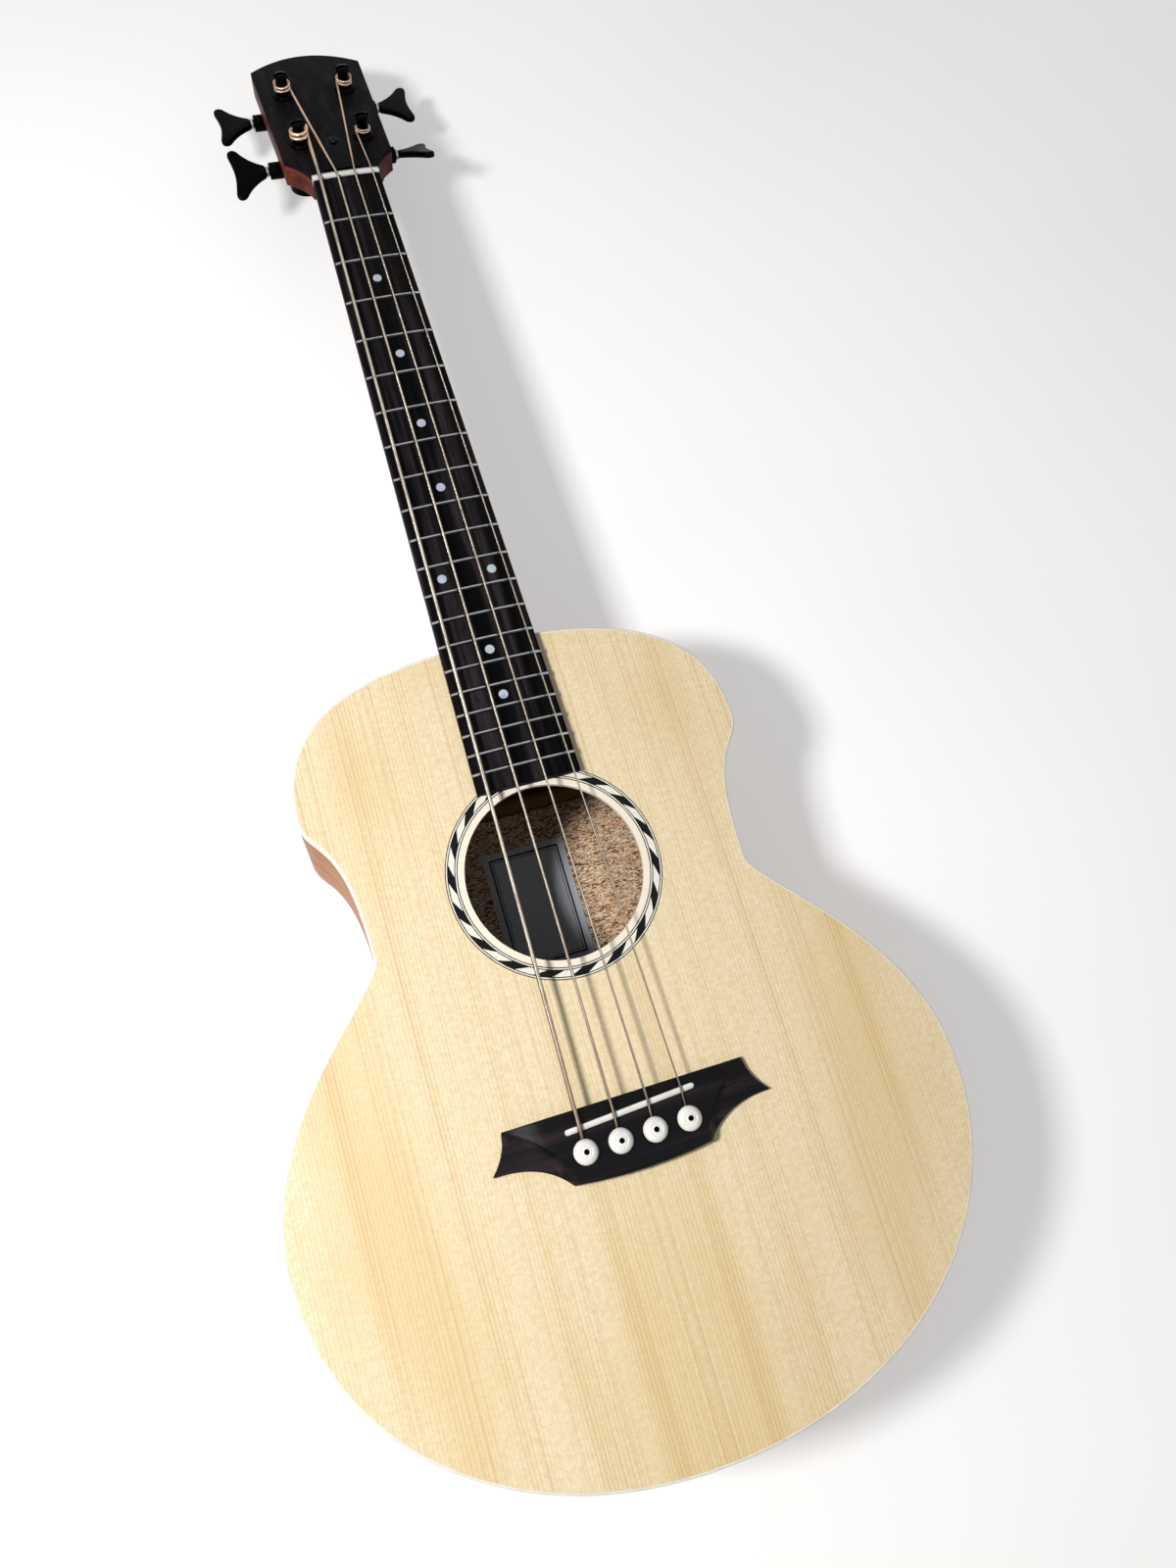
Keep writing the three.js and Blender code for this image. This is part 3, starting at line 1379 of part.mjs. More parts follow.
// The case is drawn in plan. It has pockets for the wheel and the worm and a barrel for the key's shaft.
function tunerHousing() {
  const wheelPocket = wheelPitchRadius + gearModule + 2 * runningFit;
  const roundRadius = wheelPocket + housingWall;
  const half = wormHalfLength + 2 * runningFit + journalLength + housingWall;
  const wallX = Math.min(half, roundRadius - housingWall);
  const meetY = -Math.sqrt(roundRadius ** 2 - wallX ** 2);
  const meet = Math.atan2(meetY, wallX);
  const lowY = wormY - wormPocketRadius - housingWall;
  const corner = housingCornerRadius;
  const shape = new THREE.Shape()
    .absarc(0, 0, roundRadius, meet, Math.PI / 2, false)
    .absarc(0, 0, roundRadius, Math.PI / 2, Math.PI - meet, false)
    .lineTo(-wallX, lowY + corner)
    .quadraticCurveTo(-wallX, lowY, corner - wallX, lowY)
    .lineTo(wallX - corner, lowY)
    .quadraticCurveTo(wallX, lowY, wallX, lowY + corner);
  const shell = extruded(shape, housingTop - housingBottom, { curveSegments: tunerCurveSteps })
    .translate(0, 0, housingBottom);
  const onKey = (radius, from, to, sides) =>
    alongKey(roundBar(radius, from, to, sides)).translate(0, wormY, wormDrop);
  const barrel = onKey(barrelRadius, wallX / 2, barrelEnd);
  const wheelSpace = wheelWidth / 2 + 2 * runningFit;
  const inside = wormHalfLength + runningFit;
  return cut(
    join(shell, barrel),
    roundBar(wheelPocket, wormDrop - wheelSpace, wormDrop + wheelSpace),
    roundBar(journalRadius + runningFit, wormDrop - wheelSpace - journalLength, wormDrop),
    roundBar(postRadius + runningFit, wormDrop, housingTop + cutOverrun),
    onKey(wormPocketRadius, -inside, inside, shaftSides),
    onKey(journalRadius + runningFit, -inside - journalLength - runningFit, 0, shaftSides),
    onKey(keyShaftRadius + runningFit, 0, barrelEnd + cutOverrun, shaftSides),
  );
}

function tunerBushing() {
  const seat = veneerThickness + glueLine;
  const top = seat + bushingFlangeThickness;
  const bore = postRadius + runningFit;
  const profile = [
    [bore, top - bushingSleeveLength],
    [bushingSleeveRadius, top - bushingSleeveLength],
    [bushingSleeveRadius, seat],
    [bushingFlangeRadius, seat],
    [bushingRimShare * bushingFlangeRadius, top],
    [bore, top],
    [bore, top - bushingSleeveLength],
  ];
  return turned(profile);
}

// Strap button

const buttonHeight = () => backAt(bodyTailY) / 2;

const onTail = (geometry) => geometry.rotateX(Math.PI / 2).translate(0, bodyTailY, buttonHeight());

const buttonBore = () =>
  onTail(roundBar(buttonShankRadius + glueLine, -buttonReach - cutOverrun, cutOverrun, buttonSides));

function strapButton() {
  const profile = [
    [0, -buttonReach],
    [buttonShankRadius, -buttonReach],
    [buttonShankRadius, glueLine],
    ...buttonShares.map(([wide, along]) => [
      wide * buttonFlangeRadius,
      THREE.MathUtils.lerp(glueLine, buttonLength, along),
    ]),
  ];
  return onTail(turned(profile, buttonSides));
}

// Finishes

const finish = (color, roughness, metalness = 0) =>
  new THREE.MeshStandardMaterial({ color, roughness, metalness });
const spruce = finish(0xe8cf9c, 0.42);
const mahogany = finish(0x9a5a34, 0.38);
const neckWood = finish(0x5e2f1d, 0.4);
const innerWood = finish(0xb98a5c, 0.7);
const rosewood = finish(0x231b1c, 0.5);
const whitePlastic = finish(0xf0ece0, 0.3);
const bone = finish(0xf4f1ea, 0.35);
const inlay = finish(0x8f8b86, 0.4);
const paper = finish(0xb9bcc4, 0.8);
const blackMetal = finish(0x121214, 0.25, 0.6);
const blackPlastic = finish(0x17171a, 0.3);
const steel = finish(0x8d9198, 0.35, 1);
const bronze = finish(0xb98a62, 0.35, 0.9);

// Assembly

const crease = THREE.MathUtils.degToRad(30);

function piece(name, geometry, material) {
  const mesh = new THREE.Mesh(toCreasedNormals(geometry, crease), material);
  mesh.name = name;
  return mesh;
}

// A copy of a piece on the other side of the centre line.
const mirroredX = (geometry) => sealed(geometry.clone().scale(-1, 1, 1));
const onSide = (geometry, sideSign) => (sideSign < 0 ? mirroredX(geometry) : geometry.clone());

// A tuner's piece turned half round for the bass side, or mirrored for the treble side.
const onHead = (geometry, sideSign) => sealed(geometry.clone().scale(sideSign, -1, 1));

function bodyPieces() {
  const ring = piece("rosette", rosette(), inlay);
  ring.position.set(0, holeY, 0);
  const pairs = [
    ["bass", -1],
    ["treble", 1],
  ].flatMap(([name, sign]) => [
    piece(`side_${name}`, onSide(bentSide(), sign), mahogany),
    piece(`top_lining_${name}`, onSide(topLining(), sign), innerWood),
    piece(`back_lining_${name}`, onSide(backLining(), sign), innerWood),
    piece(`x_brace_${name}`, crossBrace(sign), spruce),
  ]);
  const toneBars = toneBarPlaceShares.map((share, i) => piece(`tone_bar_${i + 1}`, toneBar(share), spruce));
  return [
    piece("soundboard", soundboard(), spruce),
    ring,
    piece("back_plate", backPlate(), mahogany),
    piece("top_binding", topBinding(), whitePlastic),
    piece("back_binding", backBinding(), whitePlastic),
    ...pairs,
    piece("neck_block", cut(neckBlock(), tenonSlot()), innerWood),
    piece("tail_block", cut(tailBlock(), buttonBore()), innerWood),
    piece("upper_transverse_brace", transverseBrace(), spruce),
    ...toneBars,
    ...backBraces().map((bar, i) => piece(`back_brace_${i + 1}`, bar, spruce)),
    piece("bridge_plate", bridgePlate(), innerWood),
    piece("label", label(), paper),
    piece("strap_button", strapButton(), blackPlastic),
  ];
}

function neckPieces() {
  return [
    piece("neck", neck(), neckWood),
    piece("truss_rod", trussRod(), steel),
    piece("fretboard", fretboard(), rosewood),
    piece("nut", nut(), bone),
  ];
}

function stringPieces() {
  const pins = strings.map(({ name }, index) => piece(`bridge_pin_${name}`, bridgePin(index), bone));
  const wires = strings.map((string, index) => {
    const gap = leastWindingGap(string, stringRoute(string, index).winding);
    console.log(`string_${string.name} winding: least gap to itself ${gap.toFixed(2)} mm`);
    return piece(`string_${string.name}`, stringTube(string, index), bronze);
  });
  return [piece("bridge", bridge(), rosewood), piece("saddle", saddle(), bone), ...pins, ...wires];
}

function tuner({ name, side: sign, row, keyLift }) {
  const group = new THREE.Group();
  group.position.set(sign * postX, postRows[row], 0);
  group.add(
    piece(`tuner_housing_${name}`, onHead(tunerHousing(), sign), blackMetal),
    piece(`tuner_key_${name}`, onHead(tunerKey(keyLift), sign), blackMetal),
    piece(`tuner_post_${name}`, onHead(tunerPost(), sign), blackMetal),
    piece(`tuner_bushing_${name}`, onHead(tunerBushing(), sign), blackMetal),
  );
  return group;
}

function head() {
  const group = new THREE.Group();
  group.position.set(0, nutFrontY, 0);
  group.rotation.x = -headAngle;
  const screw = piece("cover_screw", coverScrew(), steel);
  screw.position.set(0, screwY, 0);
  group.add(
    piece("headstock_veneer", veneer(), rosewood),
    piece("truss_rod_cover", trussRodCover(), rosewood),
    screw,
    ...strings.map(tuner),
  );
  return group;
}

// Everything is drawn with the soundboard level, then turned so that the tapered body lies on its back.
const instrument = new THREE.Group();
const saddleDepth = -backAt(0);
instrument.rotation.x = -taperAngle;
instrument.position.set(0, saddleDepth * Math.sin(taperAngle), saddleDepth * Math.cos(taperAngle));
instrument.add(...bodyPieces(), ...neckPieces(), ...stringPieces(), head());

const bassGuitar = new THREE.Group();
bassGuitar.add(instrument);

export default bassGuitar;
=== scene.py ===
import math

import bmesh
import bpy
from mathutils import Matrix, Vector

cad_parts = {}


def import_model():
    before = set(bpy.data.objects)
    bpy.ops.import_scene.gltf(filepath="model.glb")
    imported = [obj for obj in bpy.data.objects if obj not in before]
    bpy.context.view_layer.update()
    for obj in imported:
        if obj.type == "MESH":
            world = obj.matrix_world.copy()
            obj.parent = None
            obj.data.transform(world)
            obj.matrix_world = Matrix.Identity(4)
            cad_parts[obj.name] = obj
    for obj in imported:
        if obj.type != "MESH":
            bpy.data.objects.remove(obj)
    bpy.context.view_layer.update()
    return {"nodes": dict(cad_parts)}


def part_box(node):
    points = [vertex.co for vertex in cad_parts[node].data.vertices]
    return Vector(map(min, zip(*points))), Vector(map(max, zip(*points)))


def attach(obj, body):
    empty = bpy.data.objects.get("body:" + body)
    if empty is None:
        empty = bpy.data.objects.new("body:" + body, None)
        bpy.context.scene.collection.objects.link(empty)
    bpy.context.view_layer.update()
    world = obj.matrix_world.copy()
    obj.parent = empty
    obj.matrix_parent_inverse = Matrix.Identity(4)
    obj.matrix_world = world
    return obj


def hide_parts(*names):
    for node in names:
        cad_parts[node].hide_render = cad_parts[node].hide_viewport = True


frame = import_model()

# A short-scale acoustic bass guitar that lies on its back.
# Pieces are drawn in millimetres over a level soundboard: z is 0 on its top, y is 0 at the saddle and grows
# towards the head, and +x is the thinnest string's side. Then they are turned into the frame, in metres.
# Lists of shares hold the points of a small profile as parts of the sizes beside them.

# String scale, fretboard and nut
SCALE_LENGTH = 597
NOTES_PER_OCTAVE = 12
FRET_COUNT = 20
BODY_FRET = 14
NUT_WIDTH = 42.8
FRETBOARD_END_WIDTH = 59.6
FRETBOARD_THICKNESS = 6.1
FRETBOARD_PAST_LAST_FRET = 11
FRETBOARD_RADIUS = 400
FRETBOARD_EDGE_ROUND = 0.5
FRETBOARD_FACETS = 14
FRET_HEIGHT = 1.1
FRET_WIDTH = 2.5
FRET_FOOT_DEPTH = 0.4
FRET_END_SHARE = 0.55
FRET_STEPS = 16
FRET_ARCH_STEPS = 10
# How far up a fret's face must look to get the painted highlight
FRET_CROWN_SLOPE = 0.93
DOT_RADIUS = 2.7
DOT_THICKNESS = 1
DOT_LIFT = 0.05
DOT_FRETS = [3, 5, 7, 9, 15, 17]
DOUBLE_DOT_FRET = 12
DOUBLE_DOT_X = 14.85
NUT_THICKNESS = 5
NUT_STRING_SPACING = 11.3
NUT_STRING_HEIGHT = 7.6
NUT_BACK_DROP = 2.2
NUT_END_DROP = 0.3
NUT_FACETS = 16
NUT_CREST_SHARES = [
    (0, 0.35), (0.06, 0.1), (0.16, 0), (0.32, 0.02), (0.6, 0.3), (0.85, 0.75), (0.96, 1), (1, 1.3),
]

# Each string's diameter, side of the head, row of posts from the nut, turns on its post, and how many degrees
# the far lobe of its key stands up
STRINGS = {
    "e": {"diameter": 2.29, "side": -1, "row": 0, "turns": 2, "key_lift": 23},
    "a": {"diameter": 1.57, "side": -1, "row": 1, "turns": 2.5, "key_lift": 6},
    "d": {"diameter": 1.27, "side": 1, "row": 1, "turns": 2.5, "key_lift": 4},
    "g": {"diameter": 0.94, "side": 1, "row": 0, "turns": 2, "key_lift": -22},
}
STRING_MIDDLE = (len(STRINGS) - 1) / 2
SADDLE_STRING_SPACING = 18.75
STRING_END_RADIUS = 3
STRING_END_LENGTH = 5
STRING_END_SHOULDER = 0.07
PIN_BEND_LENGTH = 2.6
SADDLE_BEND_LENGTH = 1.2
NUT_BEND_LENGTH = 1
BEND_STEPS = 5
WINDING_GAP = 0.6
WINDING_STEPS = 48
WRAP_SHARE = 0.25
STRING_SIDES = 14

# Body
BODY_LENGTH = 445
UPPER_BOUT = 254.6
WAIST = 211.8
LOWER_BOUT = 365.8
DEPTH_AT_TAIL = 112
DEPTH_AT_NECK = 96
SOUNDBOARD_THICKNESS = 2.8
BACK_THICKNESS = 2.6
SIDE_THICKNESS = 2.4
BINDING_WIDTH = 2.4
BINDING_HEIGHT = 6
BINDING_FACE_WIDTH = 1.5
BINDING_ROUND = 0.9
BINDING_ROUND_STEPS = 3
BOUT_STATION_SHARES = {"upper": 0.171, "waist": 0.36, "lower": 0.664}
OUTLINE_HANDLE_SHARES = [(0.666, 0.7), (0.267, 0.881), (0.12, 0.534), (0.578, 0.585)]
OUTLINE_STEP_LENGTH = 6

# Sound hole, its inlaid ring and the label
HOLE_RADIUS = 49.3
HOLE_BELOW_FRETBOARD = 1.7
ROSETTE_INNER_RADIUS = 53
ROSETTE_OUTER_RADIUS = 59.9
ROSETTE_DEPTH = 1.2
ROSETTE_LINE = 0.55
ROSETTE_BORDER = 1.75
ROPE_REPEATS = 18
ROPE_STEPS = 12
ROPE_LANES = 4
ROPE_SLANT = math.radians(-7)
ROPE_START = math.radians(8.7)
RING_BLEND = 0.0002
GROWTH_LINE_SPACING = 2.1
GROWTH_LINE_DRIFT = 28
HOLE_SIDES = 120
# The label's printed lines: how far in from its edge, and half their width
LABEL_LINES = [(4.5, 0.5), (6.2, 0.2)]

# Bridge, saddle and pins
BRIDGE_FRONT_SPAN = 132
BRIDGE_TIP_REACH = 9.5
BRIDGE_BACK_SPAN = 75
BRIDGE_FRONT_Y = 2.3
BRIDGE_TIP_Y = -17.5
BRIDGE_BACK_Y = -33.4
BRIDGE_BACK_BULGE = 2.6
BRIDGE_THICKNESS = 8.5
BRIDGE_FRONT_CORNER_THICKNESS = 3.8
BRIDGE_WING_THICKNESS = 3
BRIDGE_TIP_THICKNESS = 2.4
BRIDGE_PLATE_THICKNESS = 2.5
BRIDGE_FLAT_SPAN = 88
BRIDGE_ROUND = 2.2
BRIDGE_TIP_WIDTH = 0.7
BRIDGE_WING_STEPS = 22
BRIDGE_TIP_STEPS = 8
BRIDGE_HOLLOW_STEPS = 10
BRIDGE_HOLLOW_SPACING = 1.7
BRIDGE_HOLLOW_POWER = 5
BRIDGE_FRONT_ROUND = [(0, 1), (0.03, 0.3), (0.08, 0)]
BRIDGE_BULGE_SHARES = {"end": 0.1, "back": 0.33, "ridge": 0.2}
CURVE_SEARCH_STEPS = 40
SADDLE_LENGTH = 71.5
SADDLE_THICKNESS = 3
SADDLE_Y = -5.8
SADDLE_SLANT = math.radians(3.05)
SADDLE_HEIGHT = 11.4
SADDLE_SLOT_FLOOR = 2.6
SADDLE_CROWN = 1.2
SADDLE_MIDDLE_STEPS = 4
SADDLE_END_STEPS = 8
SADDLE_PEAK_SHARE = 1 / 3
SADDLE_CROWN_SHARES = [
    (1, 0.5), (0.8, 0.2), (SADDLE_PEAK_SHARE, 0), (0, 0.1), (-0.4, 0.4), (-0.8, 0.7), (-1, 1),
]
PIN_Y = -19.2
PIN_HEAD_RADIUS = 6.5
PIN_HEAD_HEIGHT = 4.3
PIN_HEAD_LIFT = 0.5
PIN_RADIUS = 3.4
PIN_TIP_RADIUS = 2.9
PIN_REACH = 16
PIN_DOT_RADIUS = 1.45
PIN_DOT_HEIGHT = 0.06
PIN_DOT_SHARES = [(0, 0), (1, 0), (0.9, 2 / 3), (0, 1)]
PIN_HEAD_SHARES = [
    (0.84, 0), (0.95, 0.06), (1, 0.2), (1, 0.32), (0.95, 0.5), (0.86, 0.66), (0.74, 0.8), (0.6, 0.91),
    (0.52, 0.93), (0.48, 0.9), (0.4, 0.93), (0.3, 0.97), (0.23, 0.98),
]

# Neck and head
NECK_DEPTH_AT_NUT = 16
NECK_DEPTH_AT_HEEL = 18.5
HEEL_CAP_DEPTH = 86
HEEL_CAP_LENGTH = 18
HEEL_CURVE_LENGTH = 40
HEEL_TAPER = 0.55
SHAFT_ROUNDNESS = 0.82
HEEL_ROUNDNESS = 0.55
NECK_SECTION_STEPS = 32
HEEL_CURVE_STEPS = 16
HEAD_ANGLE = math.radians(14)
HEAD_THICKNESS = 13
HEAD_LENGTH = 140
HEAD_ARCH = 14
HEAD_TOP_WIDTH = 75
HEAD_SHOULDER_WIDTH = 71
HEAD_SHOULDER_Y = 20
HEAD_WAIST_SHARES = {"across": 0.22, "along": 0.6}
HEAD_RUN_LENGTH = 22
HEAD_RUN_INSET = 2.4
HEAD_RUN_COVER = 1
VENEER_THICKNESS = 3
COVER_WIDTH = 23
COVER_TIP_WIDTH = 14
COVER_LENGTH = 37
COVER_START = 1.5
COVER_THICKNESS = 2
COVER_GAP = 0.05
COVER_WAIST_SHARE = 0.3
SCREW_Y = 32
SCREW_HEAD_RADIUS = 2.7
SCREW_HEAD_HEIGHT = 1.5
SCREW_HEAD_SHARES = [(1, 0), (0.98, 0.3), (0.88, 0.62), (0.68, 0.86), (0.4, 0.98), (0, 1)]
SCREW_RADIUS = 1.3
SCREW_LENGTH = 9
SCREW_SLOT_WIDTH = 0.8
SCREW_SLOT_SHARE = 0.6

# Tuners
POST_X = 20.9
POST_ROWS = [37, 94]
GEAR_MODULE = 1
DEDENDUM_SHARE = 1.25
WHEEL_TEETH = 16
WHEEL_WIDTH = 5
WHEEL_LAYERS = 4
WORM_PITCH_RADIUS = 4
WORM_TURNS = 2
WORM_STEPS = 24
PRESSURE_ANGLE = math.radians(20)
GEAR_CLEARANCE = 0.15
POST_RADIUS = 3.9
WINDING_RADIUS = 3.7
POST_FLANGE_RADIUS = 4.7
POST_FLANGE_THICKNESS = 1.7
POST_FLANGE_ROUND = 0.3
POST_FLANGE_INSET = 0.4
POST_THROAT = 0.5
POST_DOME_HEIGHT = 0.8
POST_HEIGHT = 14.6
POST_SLOT_WIDTH = 2.7
POST_SLOT_DEPTH = 2.9
POST_BORE_RADIUS = 1.5
POST_BORE_DEPTH = 6
JOURNAL_RADIUS = 2
JOURNAL_LENGTH = 2.2
HOUSING_WALL = 1.6
HOUSING_CORNER_RADIUS = 3
HOUSING_CORNER_STEPS = 6
HOUSING_ARC_STEPS = 40
HOUSING_ROUND = 0.9
BARREL_RADIUS = 5.25
BARREL_ROUND = 0.5
BARREL_PAST_HEAD = 5.5
KEY_SHAFT_RADIUS = 2.5
KEY_RING_RADIUS = 3.1
KEY_RING_LENGTH = 1.7
KEY_RING_ROUND = 0.3
KEY_LENGTH = 22.5
KEY_SPAN = 35
KEY_THICKNESS = 4
KEY_ROUND_SHARE = 0.36
KEY_ROUND_SEGMENTS = 5
KEY_HUB_SHARE = 0.22
# Half of the fan-shaped key as curves: each row's handles and end, as shares of its length and half its span
KEY_LOBE_SHARES = [
    [(0.444, 0.446), (0.7, 0.91)],
    [(0.76, 1), (0.86, 1.04), (0.94, 0.98)],
    [(1.01, 0.93), (1.02, 0.82), (1, 0.72)],
    [(0.96, 0.5), (0.92, 0.25), (0.92, 0)],
]
BUSHING_FLANGE_RADIUS = 7.1
BUSHING_FLANGE_THICKNESS = 2.4
BUSHING_SLEEVE_RADIUS = 5
BUSHING_SLEEVE_LENGTH = 11
BUSHING_SEAT_GAP = 0.02
BUSHING_SHARES = [(1, 0), (1, 0.3), (0.95, 0.6), (0.84, 0.85), (0.72, 1)]

# Strap button
BUTTON_SHANK_RADIUS = 4.6
BUTTON_REACH = 20
BUTTON_FLANGE_RADIUS = 7.5
BUTTON_LENGTH = 13
BUTTON_SHARES = [
    (0.9, 0), (1, 0.04), (1, 0.15), (0.85, 0.2), (0.6, 0.28), (0.53, 0.38), (0.53, 0.52),
    (0.62, 0.62), (0.88, 0.7), (0.98, 0.78), (0.9, 0.9), (0.5, 1), (0, 1),
]

# Fits and fineness
GLUE_LINE = 0.15
RUNNING_FIT = 0.2
INSIDE_SLOPE = 0.5
OVERRUN = 5
SLIGHT_ROUND = 0.4
ROUND_SEGMENTS = 3
ROUND_EDGE_ANGLE = math.radians(35)
SMOOTH_ANGLE = math.radians(30)
CURVE_STEPS = 16
TURNED_SIDES = 40

# Places that follow from the sizes
METRES = 0.001
TAPER_ANGLE = math.atan((DEPTH_AT_TAIL - DEPTH_AT_NECK) / BODY_LENGTH)


def fret_y(fret):
    return SCALE_LENGTH * 2 ** (-fret / NOTES_PER_OCTAVE)


BODY_NECK_Y = fret_y(BODY_FRET)
BODY_TAIL_Y = BODY_NECK_Y - BODY_LENGTH
FRETBOARD_END_Y = fret_y(FRET_COUNT) - FRETBOARD_PAST_LAST_FRET
HOLE_Y = FRETBOARD_END_Y - HOLE_BELOW_FRETBOARD - HOLE_RADIUS
NUT_FRONT_Y = SCALE_LENGTH + NUT_THICKNESS
BRIDGE_TIP_SPAN = BRIDGE_FRONT_SPAN + 2 * BRIDGE_TIP_REACH
BRIDGE_PLATE_UNDERSIDE = -SOUNDBOARD_THICKNESS - GLUE_LINE - BRIDGE_PLATE_THICKNESS
WHEEL_PITCH_RADIUS = WHEEL_TEETH * GEAR_MODULE / 2
GEAR_DISTANCE = WHEEL_PITCH_RADIUS + WORM_PITCH_RADIUS
TOOTH_PITCH = math.pi * GEAR_MODULE
TOOTH_ROOT_DEPTH = DEDENDUM_SHARE * GEAR_MODULE
WORM_OUTER_RADIUS = WORM_PITCH_RADIUS + GEAR_MODULE
WORM_ROOT_RADIUS = WORM_PITCH_RADIUS - TOOTH_ROOT_DEPTH
WORM_POCKET_RADIUS = WORM_OUTER_RADIUS + 2 * RUNNING_FIT
WORM_HALF_LENGTH = TOOTH_PITCH * (WORM_TURNS + 1) / 2
WORM_Y = -GEAR_DISTANCE
HOUSING_TOP = -HEAD_THICKNESS - GLUE_LINE
WORM_DROP = HOUSING_TOP - HOUSING_WALL - WORM_POCKET_RADIUS
HOUSING_BOTTOM = WORM_DROP - WORM_POCKET_RADIUS - HOUSING_WALL
BARREL_END = max(HEAD_TOP_WIDTH, HEAD_SHOULDER_WIDTH) / 2 - POST_X + BARREL_PAST_HEAD
KEY_START = BARREL_END + 2 * RUNNING_FIT
WORM_SPACE = WORM_HALF_LENGTH + RUNNING_FIT
BUSHING_TOP = VENEER_THICKNESS + GLUE_LINE + BUSHING_FLANGE_THICKNESS
POST_TOP = VENEER_THICKNESS + POST_HEIGHT


def back_at(y):
    return -(DEPTH_AT_TAIL - (y - BODY_TAIL_Y) * math.tan(TAPER_ANGLE))


SADDLE_DEPTH = -back_at(0) * METRES
LEVEL = (
    Matrix.Translation((0, SADDLE_DEPTH * math.sin(TAPER_ANGLE), SADDLE_DEPTH * math.cos(TAPER_ANGLE)))
    @ Matrix.Rotation(-TAPER_ANGLE, 4, "X")
    @ Matrix.Scale(METRES, 4)
)
HEAD_TURN = Matrix.Translation((0, NUT_FRONT_Y, 0)) @ Matrix.Rotation(-HEAD_ANGLE, 4, "X")
HEAD = LEVEL @ HEAD_TURN


def lerp(start, end, share):
    return start + share * (end - start)


def smoothstep(value, low, high):
    share = min(max((value - low) / (high - low), 0), 1)
    return share * share * (3 - 2 * share)


def crown_drop(x):
    return x * x / (2 * FRETBOARD_RADIUS)


def fretboard_half_width(y):
    share = (SCALE_LENGTH - y) / (SCALE_LENGTH - FRETBOARD_END_Y)
    return lerp(NUT_WIDTH, FRETBOARD_END_WIDTH, share) / 2


def bezier(points, share):
    """A point on the Bezier curve of any number of control points."""
    while len(points) > 1:
        points = [start.lerp(end, share) for start, end in zip(points, points[1:])]
    return points[0]


def bezier_run(points, steps):
    """Points along a Bezier curve, without its first one."""
    return [bezier(points, k / steps) for k in range(1, steps + 1)]


# Forms: each is a list of points and a list of faces


def loft(rows, ring=False):
    """Skins rows that all have the same number of points, and caps the ends unless the rows form a ring."""
    count = len(rows[0])
    points = [point for row in rows for point in row]
    faces = []
    for i in range(len(rows) if ring else len(rows) - 1):
        here = i * count
        following = (i + 1) % len(rows) * count
        for j in range(count):
            after = (j + 1) % count
            faces.append((here + j, following + j, following + after, here + after))
    if not ring:
        last = (len(rows) - 1) * count
        faces.append(tuple(range(count)))
        faces.append(tuple(range(last, last + count)))
    return points, faces


def prism(outline, bottom_at, top_at):
    """A prism over a flat outline, between two surfaces whose height depends on y."""
    return loft([[Vector((x, y, height(y))) for x, y in outline] for height in (bottom_at, top_at)])


def level_at(height):
    return lambda y: height


def slab(outline, low, high):
    """A prism over a flat outline, between two levels."""
    return prism(outline, level_at(low), level_at(high))


def block(low, high):
    return slab([(low[0], low[1]), (high[0], low[1]), (high[0], high[1]), (low[0], high[1])], low[2], high[2])


def circle_angles(sides):
    return [2 * math.pi * k / sides for k in range(sides)]


def turned(profile, sides=TURNED_SIDES):
    """A turned piece round the z axis, from radius and height pairs. A pair on the axis closes an end."""
    rows = [[Vector((r * math.cos(a), r * math.sin(a), h)) for r, h in profile] for a in circle_angles(sides)]
    return loft(rows, ring=True)


def part_of(shares, radius, low, high):
    """Radius and height pairs, from shares of a radius and of the way between two levels."""
    return [(wide * radius, lerp(low, high, tall)) for wide, tall in shares]


def round_bar(radius, low, high, sides=TURNED_SIDES):
    return slab([(radius * math.cos(a), radius * math.sin(a)) for a in circle_angles(sides)], low, high)


def mirrored(points):
    """The same points on the other side of the middle line, in reverse order."""
    return [Vector((-x, y)) for x, y in reversed(points)]


def moved(form, matrix):
    points, faces = form
    return [matrix @ point for point in points], faces


def shifted(form, x, y, z=0):
    return moved(form, Matrix.Translation((x, y, z)))


def joined(*forms):
    """Several forms as one list of points and faces."""
    points = []
    faces = []
    for form_points, form_faces in forms:
        start = len(points)
        points.extend(form_points)
        faces.extend(tuple(start + i for i in face) for face in form_faces)
    return points, faces


def tube(route, radii):
    """A round bar along a route, with its own radius at each point."""
    rows = []
    across = Vector((1, 0, 0))
    for i, point in enumerate(route):
        tangent = (route[min(i + 1, len(route) - 1)] - route[max(i - 1, 0)]).normalized()
        across = (across - across.dot(tangent) * tangent).normalized()
        up = tangent.cross(across)
        directions = [math.cos(a) * across + math.sin(a) * up for a in circle_angles(STRING_SIDES)]
        rows.append([point + radii[i] * direction for direction in directions])
    return loft(rows)


# Objects made from forms


def mesh_of(name, form):
    """A mesh with shared corners and faces that look outwards."""
    points, faces = form
    mesh = bpy.data.meshes.new(name)
    mesh.from_pydata(points, [], faces)
    sheet = bmesh.new()
    sheet.from_mesh(mesh)
    bmesh.ops.remove_doubles(sheet, verts=sheet.verts, dist=METRES * METRES)
    bmesh.ops.dissolve_degenerate(sheet, edges=sheet.edges, dist=METRES * METRES)
    bmesh.ops.recalc_face_normals(sheet, faces=sheet.faces)
    sheet.to_mesh(mesh)
    sheet.free()
    return mesh


def linked(name, data):
    """A new object in the scene."""
    made = bpy.data.objects.new(name, data)
    bpy.context.scene.collection.objects.link(made)
    return made


def new_object(name, form, place=LEVEL):
    return linked(name, mesh_of(name, moved(form, place)))


